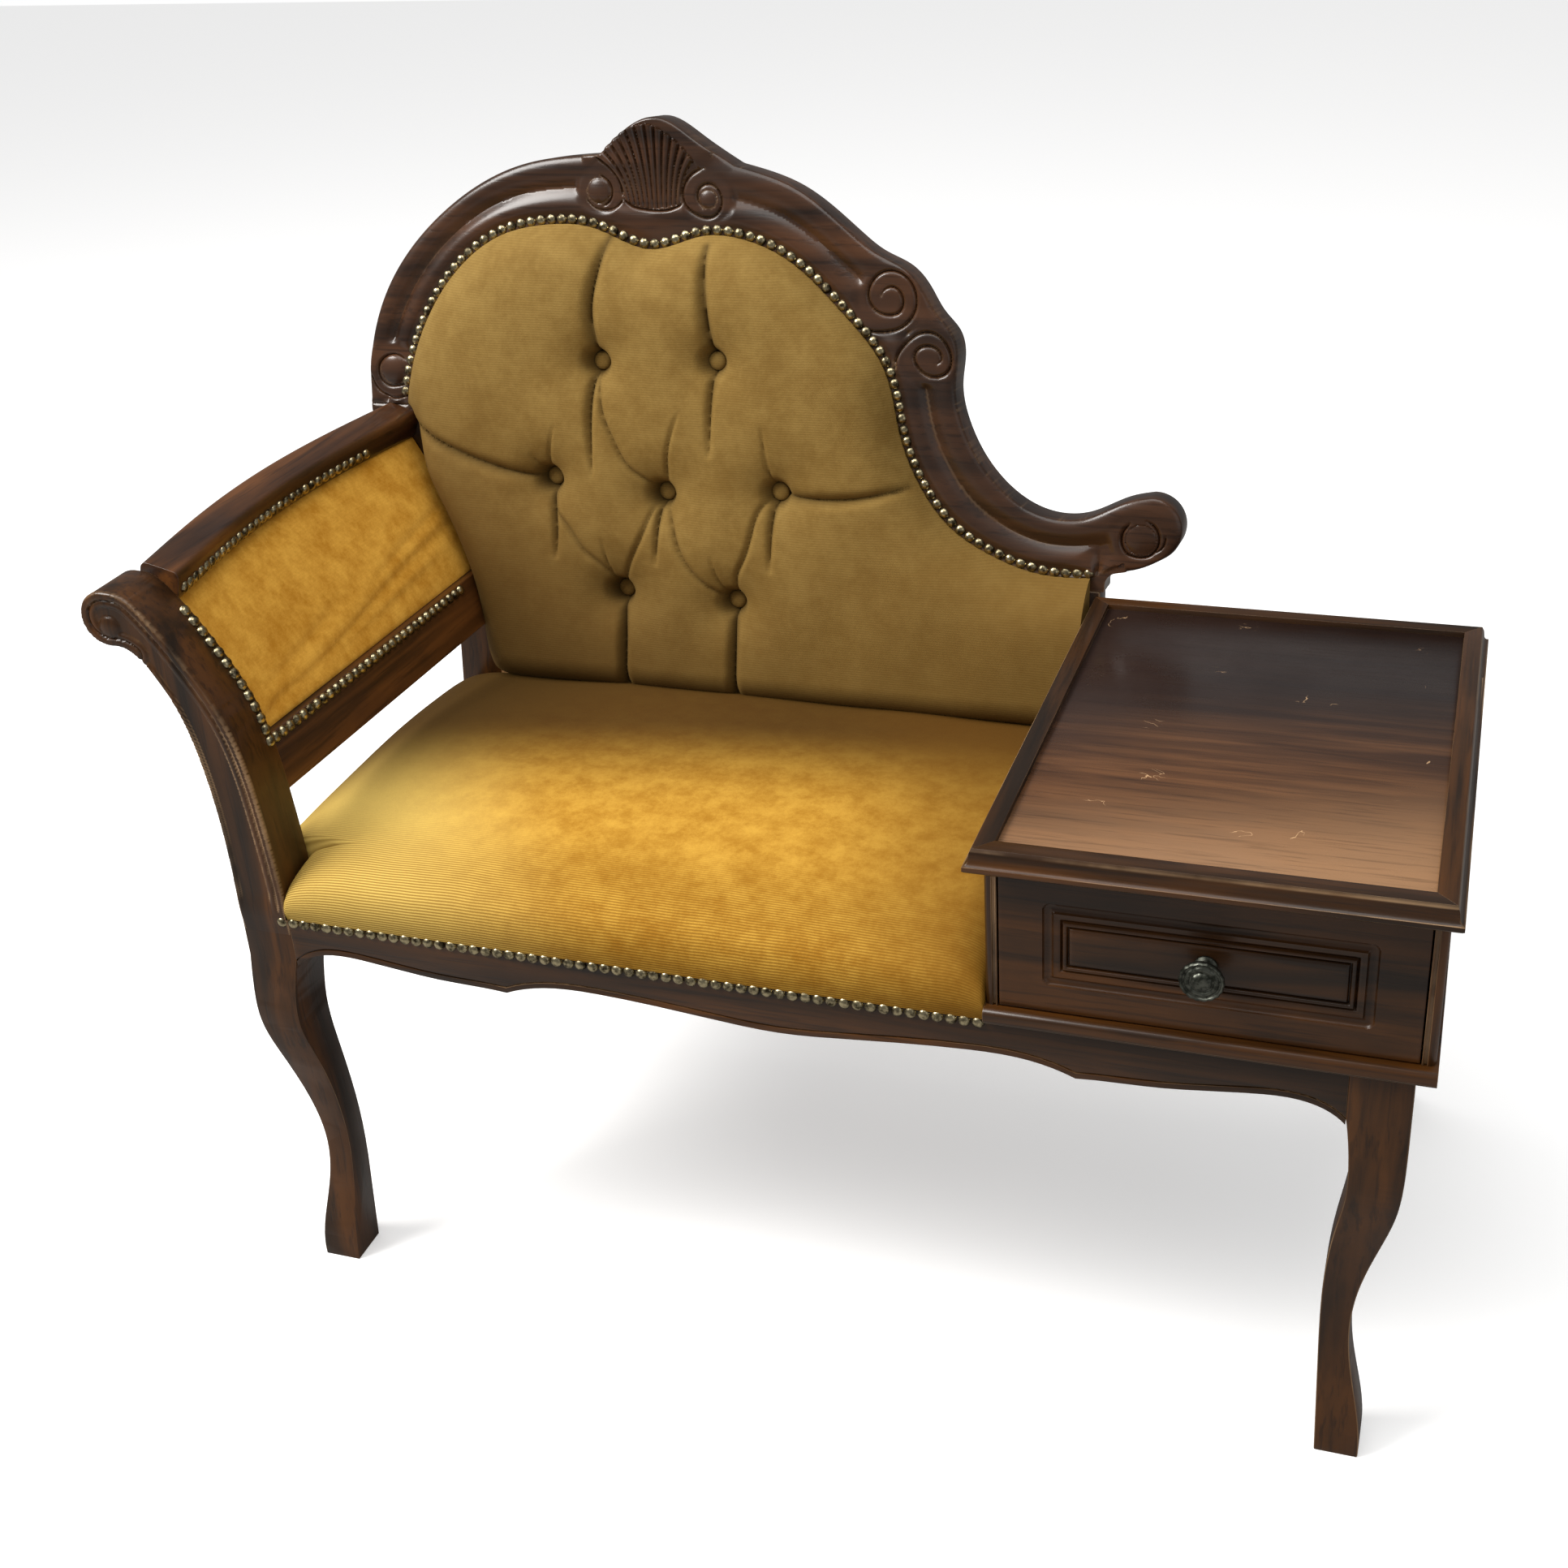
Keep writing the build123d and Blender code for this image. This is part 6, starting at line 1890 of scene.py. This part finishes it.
@dataclass
class SeatPad:
    """Crowned seat that rolls over the apron and closes against post and cabinet."""

    finishes: Finishes
    columns: int = 200
    rows: int = 170
    left: float = -480.5
    notch: float = -436.6
    notch_y: float = 74.0
    right: float = 168.2
    base: float = 373.4
    left_roll: float = 62.0
    right_roll: float = 34.0
    snug_edge: float = 0.62
    open_edge: float = 0.3
    half_wide: float = 330.0
    sag: float = 0.10
    notch_turn: float = 8.0
    spacing: tuple = (0.55, 0.45)
    waves_start: tuple = (60.0, 120.0)
    waves: tuple = ((0.7, 43.0, 61.0), (0.5, 23.0, -37.0))
    front: Points = field(
        default_factory=lambda: [
            (25.6, 0), (23.2, 12), (24.0, 24), (29.5, 36), (42, 45), (66, 53), (110, 60), (200, 66),
            (290, 66), (370, 58), (410, 52), (433, 42), (441, 26), (442, 9),
        ]
    )

    def build(self) -> bpy.types.Object:
        """Makes the pad.

        Returns:
            The seat's piece.
        """
        profile = smooth_line(self.front, self.rows + 1)
        u = np.linspace(0, 1, self.columns + 1)
        straight, bunched = self.spacing
        f = straight * u + bunched * (1 - np.cos(math.pi * u)) / 2
        y = np.repeat(profile[:, 0], self.columns + 1)
        up = np.repeat(profile[:, 1], self.columns + 1)
        start = self.notch + (self.left - self.notch) * step(y, self.notch_y, self.notch_y + self.notch_turn)
        x = start + (self.right - start) * np.tile(f, self.rows + 1)
        roll = hump(1 - np.clip((x - start) / self.left_roll, 0, 1))
        snug = hump(1 - np.clip((self.right - x) / self.right_roll, 0, 1))
        dome = 1 - self.sag * ((x - (self.left + self.right) / 2) / self.half_wide) ** 2
        by_post = at_least(self.snug_edge, roll)
        leftward = np.where(y < self.notch_y, by_post, at_least(self.open_edge, roll))
        height = up * leftward * at_least(self.snug_edge, snug) * dome
        height += ripple(x, y, self.waves) * roll * snug * step(y, *self.waves_start)
        piece = grid("seat_pad", self.columns, self.rows)
        set_points(piece, place(np.column_stack([x, y, self.base + height])))
        store(piece, "lay", np.repeat(run(profile) * MM, self.columns + 1))

        def to_rail(co: np.ndarray) -> np.ndarray:
            """Drops border points to the rails."""
            low = co.copy()
            low[:, 2] = self.base * MM
            return low

        close_below(piece, to_rail)
        smooth(piece, 60)
        dress(piece, self.finishes.seat)
        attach(piece, "bench")
        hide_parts("seat_cushion")
        log.info("seat pad: %d faces", len(piece.data.polygons))
        return piece


@dataclass
class ArmPad:
    """Padded panel between the two arm rails, with the cloth drawn in creases towards its lower edge."""

    finishes: Finishes
    along: int = 200
    around: int = 120
    size: tuple = (380.0, 125.0)
    swell: float = 7.5
    front: float = 73.4
    rear_gap: float = 1.5
    low: float = 518.4
    top: float = 641.2
    thick: float = 15.0
    top_x: float = -521.0
    bow: float = 24.0
    low_x: tuple = (-467.0, -454.0)
    lean: tuple = (0.86, 0.42)
    belly: float = 2.0
    reach: float = 30.0
    slopes: tuple = (9.0, 3.2)
    hollow: tuple = (0.45, 9.0, 7.0)
    creases: tuple = (
        (((0.10, 0.10), (0.35, 0.15), (0.62, 0.25), (0.98, 0.37)), 2.4),
        (((0.30, 0.07), (0.55, 0.13), (0.85, 0.20)), 1.6),
        (((0.06, 0.22), (0.22, 0.26), (0.45, 0.36)), 1.2),
        (((0.55, 0.30), (0.75, 0.40), (0.97, 0.50)), 1.2),
        (((0.03, 0.05), (0.12, 0.12), (0.20, 0.13)), 1.6),
    )

    def fullness(self, t: np.ndarray, s: np.ndarray) -> np.ndarray:
        """How far the inner face swells, with its creases.

        Args:
            t: Shares of the panel's length, from the front.
            s: Shares of its height.

        Returns:
            One height per point, in millimetres.
        """
        upright = np.clip(np.sin(math.pi * s), 0, 1) ** 0.5
        swell = self.swell * upright * np.clip(np.sin(math.pi * np.clip(t, 0.01, 0.99)), 0, 1) ** 0.35
        plane = np.column_stack([t, s]) * self.size
        share, at, wide = self.hollow
        for line, deep in self.creases:
            corners = np.array(line) * self.size
            d, _, along = nearest(plane, smooth_line(corners, 30), self.reach)
            under = plane[:, 1] < np.interp(plane[:, 0], *corners.T)
            ridge = np.exp(-((d / np.where(under, *self.slopes)) ** 2))
            hollow = share * np.exp(-(((d - at) / wide) ** 2))
            fade = np.sin(math.pi * np.clip(along, 0.02, 0.98)) ** 0.6
            swell -= deep * fade * (ridge - hollow)
        return swell

    def build(self) -> bpy.types.Object:
        """Makes the panel.

        Returns:
            The arm's padded piece.
        """
        piece = grid("arm_pad_dressed", self.around, self.along + 2)
        k = np.tile(np.linspace(0, 1, self.around + 1), self.along + 3)
        t = np.repeat(np.concatenate([[0.0], np.linspace(0, 1, self.along + 1), [1.0]]), self.around + 1)
        is_end = np.repeat(np.concatenate([[True], np.zeros(self.along + 1, bool), [True]]), self.around + 1)
        s = np.where(k < 0.5, k * 2, 2 - k * 2)
        top = self.top_x - self.bow * np.sin(math.pi * t)
        low = self.low_x[0] + (self.low_x[1] - self.low_x[0]) * t
        z = self.low + (self.top - self.low) * s
        x = low + (top - low) * s + self.belly * np.sin(math.pi * s)
        off = np.select(
            [is_end, (s <= 0) | (s >= 1), k < 0.5],
            [-self.thick / 2, 0.0, np.maximum(self.fullness(t, s), 0.0)],
            -self.thick,
        )
        rear = BACK_FRONT + (z - RAIL_TOP) * math.tan(RAKE) - self.rear_gap
        y = self.front + (rear - self.front) * t
        x, z = x + off * self.lean[0], z + off * self.lean[1] * np.sin(math.pi * s)
        set_points(piece, place(np.column_stack([x, y, z])))
        recalculated(piece)
        smooth(piece, 60)
        dress(piece, self.finishes.arm)
        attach(piece, "bench")
        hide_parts("arm_pad")
        log.info("arm pad: %d faces", len(piece.data.polygons))
        return piece


@dataclass
class Nails:
    """Antique brass nails, copied on to the places of the plain ones."""

    finishes: Finishes
    radius: float = 5.1
    high: float = 3.6

    def dome(self) -> bpy.types.Object:
        """Models one nail head standing on +Z.

        Returns:
            The head, at the origin.
        """
        deselect()
        bpy.ops.mesh.primitive_uv_sphere_add(segments=12, ring_count=8, radius=self.radius * MM)
        model = bpy.context.object
        edit_all(model)
        bpy.ops.mesh.bisect(plane_co=(0, 0, 0), plane_no=(0, 0, 1), clear_inner=True, use_fill=True)
        end_edit()
        co = get_points(model)
        co[:, 2] *= self.high / self.radius
        set_points(model, co)
        smooth(model, 50)
        return model

    def heads(self, node: str) -> list:
        """Finds where each plain nail of a node stands.

        Args:
            node: A CAD node of separate nails.

        Returns:
            One matrix per nail.
        """
        probe(node)
        bpy.ops.mesh.separate(type="LOOSE")
        found = []
        for part in list(bpy.context.selected_objects):
            base = max(part.data.polygons, key=lambda f: f.area)
            if len(base.vertices) > 4:
                centre = Vector(get_points(part)[list(base.vertices)].mean(0))
            else:
                flat = [f for f in part.data.polygons if f.normal.dot(base.normal) > SQUARE_ON]
                centre = sum((f.center * f.area for f in flat), Vector()) / sum(f.area for f in flat)
            found.append(standing(centre, -base.normal))
            bpy.data.objects.remove(part)
        return found

    def build(self) -> None:
        """Makes the three rows of nails."""
        for node in ("seat_nails", "back_nails", "arm_nails"):
            piece = copies(self.dome(), self.heads(node), f"{node}_dressed")
            dress(piece, self.finishes.nail)
            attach(piece, "bench")
            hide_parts(node)
            log.info("%s: %d faces", node, len(piece.data.polygons))


@dataclass
class Knob:
    """Round metal knob of the drawer, with a rope round its face and petals inside the rope."""

    finishes: Finishes
    sides: int = 72
    twists: int = 18
    petals: int = 8
    face: float = 17.5
    rope_start: float = 13.9
    petal_span: tuple = (4.0, 12.0)
    cut: float = 0.3
    slant: float = 0.9
    spread: float = 16.0
    forward: float = 0.4
    profile: Points = field(
        default_factory=lambda: [
            (8.5, 0.0), (8.5, 1.6), (7.0, 3.0), (5.6, 6.0), (5.6, 9.5), (7.5, 13.0), (12.5, 15.4),
            (15.6, 17.0), (16.4, 18.8), (16.1, 20.4), (15.2, 21.3), (14.2, 20.9), (13.6, 20.0), (12.6, 19.9),
            (11.6, 20.9), (10.4, 21.3), (9.2, 21.0), (8.6, 20.3), (7.6, 20.3), (6.8, 21.5), (5.0, 22.3),
            (2.4, 22.6),
        ]
    )

    def build(self) -> bpy.types.Object:
        """Draws the knob out of a disc, ring by ring.

        Returns:
            The knob's piece.
        """
        low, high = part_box("drawer_knob")
        deselect()
        radius = self.profile[0][0] * MM
        bpy.ops.mesh.primitive_circle_add(vertices=self.sides, radius=radius, fill_type="NGON")
        piece = bpy.context.object
        piece.name = "chased_knob"
        piece.data.name = "chased_knob"
        edit_all(piece)
        for (r, h), (wide, up) in zip(self.profile, self.profile[1:]):
            bpy.ops.mesh.extrude_region_move(TRANSFORM_OT_translate={"value": (0, 0, (up - h) * MM)})
            bpy.ops.transform.resize(value=(wide / r, wide / r, 1.0))
        end_edit()
        co = get_points(piece) / MM
        r = np.hypot(co[:, 0], co[:, 1])
        turn = np.arctan2(co[:, 1], co[:, 0])
        front = co[:, 2] > self.face
        petalled = front & (r > self.petal_span[0]) & (r < self.petal_span[1])
        relief = self.cut * np.sin(turn * self.twists + r * self.slant) * (front & (r > self.rope_start))
        relief += self.cut * np.sin(turn * self.petals) * petalled
        out = (high.y - low.y) / MM / self.profile[-1][1]
        x = (low.x + high.x) / 2 + co[:, 0] * (1 + relief / self.spread) * MM
        z = (low.z + high.z) / 2 + co[:, 1] * (1 + relief / self.spread) * MM
        y = high.y - (co[:, 2] + self.forward * relief) * out * MM
        set_points(piece, np.column_stack([x, y, z]))
        recalculated(piece, MERGE)
        smooth(piece, 40)
        dress(piece, self.finishes.knob)
        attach(piece, "drawer")
        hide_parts("drawer_knob")
        return piece


@dataclass(frozen=True)
class SoftBox:
    """One square light: its place and aim in metres, its side in metres and its power in watts."""

    name: str
    at: tuple
    aim: tuple
    size: float
    power: float
    tint: tuple

    def build(self) -> None:
        """Adds the light."""
        data = bpy.data.lights.new(self.name, "AREA")
        data.shape = "SQUARE"
        data.size = self.size
        data.energy = self.power
        data.color = self.tint
        lamp = linked(self.name, data)
        lamp.location = self.at
        lamp.rotation_euler = (Vector(self.aim) - Vector(self.at)).to_track_quat("-Z", "Y").to_euler()


def grey(value: float) -> tuple[float, float, float, float]:
    """A neutral colour."""
    return value, value, value, 1.0


LIGHTS = (
    SoftBox("window", (-2.1, -1.3, 2.9), (-0.1, 0.0, 0.5), 1.5, 130.0, (1.0, 0.98, 0.95)),
    SoftBox("top", (0.1, -0.4, 3.2), (0.0, 0.0, 0.4), 2.2, 45.0, (1.0, 0.99, 0.97)),
    SoftBox("fill", (2.4, -1.8, 1.4), (0.1, 0.0, 0.4), 2.0, 6.0, (1.0, 0.99, 0.98)),
)


@dataclass
class Studio:
    """Pale floor, soft lights and the camera.

    The eye is in bench millimetres, the turns in radians, focal length and centre in the photograph's pixels.
    """

    eye: tuple = (483.9, -1193.3, 1270.4)
    yaw: float = 0.344847
    pitch: float = -0.481412
    roll: float = -0.060322
    focal: float = 2488.174
    centre: tuple = (1004.272, 918.776)
    frame_px: float = 1932.0
    sensor: float = 36.0
    sky: float = 0.55
    gleam: float = 0.22

    def camera(self) -> None:
        """Stands the camera where the photograph was taken from."""
        data = bpy.data.cameras.new("camera")
        data.sensor_width = self.sensor
        data.sensor_fit = "HORIZONTAL"
        data.lens = self.focal / self.frame_px * self.sensor
        data.shift_x = (self.frame_px / 2 - self.centre[0]) / self.frame_px
        data.shift_y = (self.centre[1] - self.frame_px / 2) / self.frame_px
        data.clip_end = 50.0
        camera = linked("camera", data)
        level = math.cos(self.pitch)
        forward = Vector((-math.sin(self.yaw) * level, math.cos(self.yaw) * level, math.sin(self.pitch)))
        right = forward.cross(Vector((0, 0, 1))).normalized()
        up = right.cross(forward)
        c, s = math.cos(self.roll), math.sin(self.roll)
        right, up = c * right + s * up, c * up - s * right
        turned = Matrix((right, up, -forward)).transposed().to_4x4()
        camera.matrix_world = Matrix.Translation(Vector(place(np.array([self.eye]))[0])) @ turned
        bpy.context.scene.camera = camera

    def build(self) -> None:
        """Sets floor, world, lights and camera."""
        deselect()
        bpy.ops.mesh.primitive_plane_add(size=16.0, location=(0, 0, 0))
        floor = bpy.context.object
        floor.name = "studio_floor"
        material, n, shader, _ = new_material("pale_floor")
        seen = n.add("ShaderNodeLightPath").outputs["Is Camera Ray"]
        pale = n.mix(seen, (0.3, 0.29, 0.28, 1.0), grey(0.97))
        n.tree.links.new(pale, shader.inputs["Base Color"])
        n.tree.links.new(n.mix(seen, grey(0.0), grey(0.3)), shader.inputs["Emission Color"])
        shader.inputs["Emission Strength"].default_value = 1.0
        shader.inputs["Roughness"].default_value = 0.9
        dress(floor, material)
        world = bpy.data.worlds.new("studio")
        bpy.context.scene.world = world
        world.use_nodes = True
        sky = world.node_tree.nodes["Background"]
        sky.inputs["Color"].default_value = grey(1.0)
        n = Nodes(world.node_tree)
        path = n.add("ShaderNodeLightPath").outputs
        unseen = n.math("SUBTRACT", self.sky, n.times(path["Is Glossy Ray"], self.sky - self.gleam))
        strength = n.math("MAXIMUM", path["Is Camera Ray"], unseen)
        world.node_tree.links.new(strength, sky.inputs["Strength"])
        for box in LIGHTS:
            box.build()
        self.camera()
        bpy.context.scene.view_settings.view_transform = "Standard"


def main() -> None:
    """Builds the bench's looks in order."""
    finishes = Finishes()
    Woodwork(finishes).build()
    DrawerFront(finishes).build()
    CarvedArch(finishes).build()
    ArmSupport(finishes).build()
    TuftedBack(finishes).build()
    SeatPad(finishes).build()
    ArmPad(finishes).build()
    Nails(finishes).build()
    Knob(finishes).build()
    Studio().build()


if __name__ == "__main__":
    main()
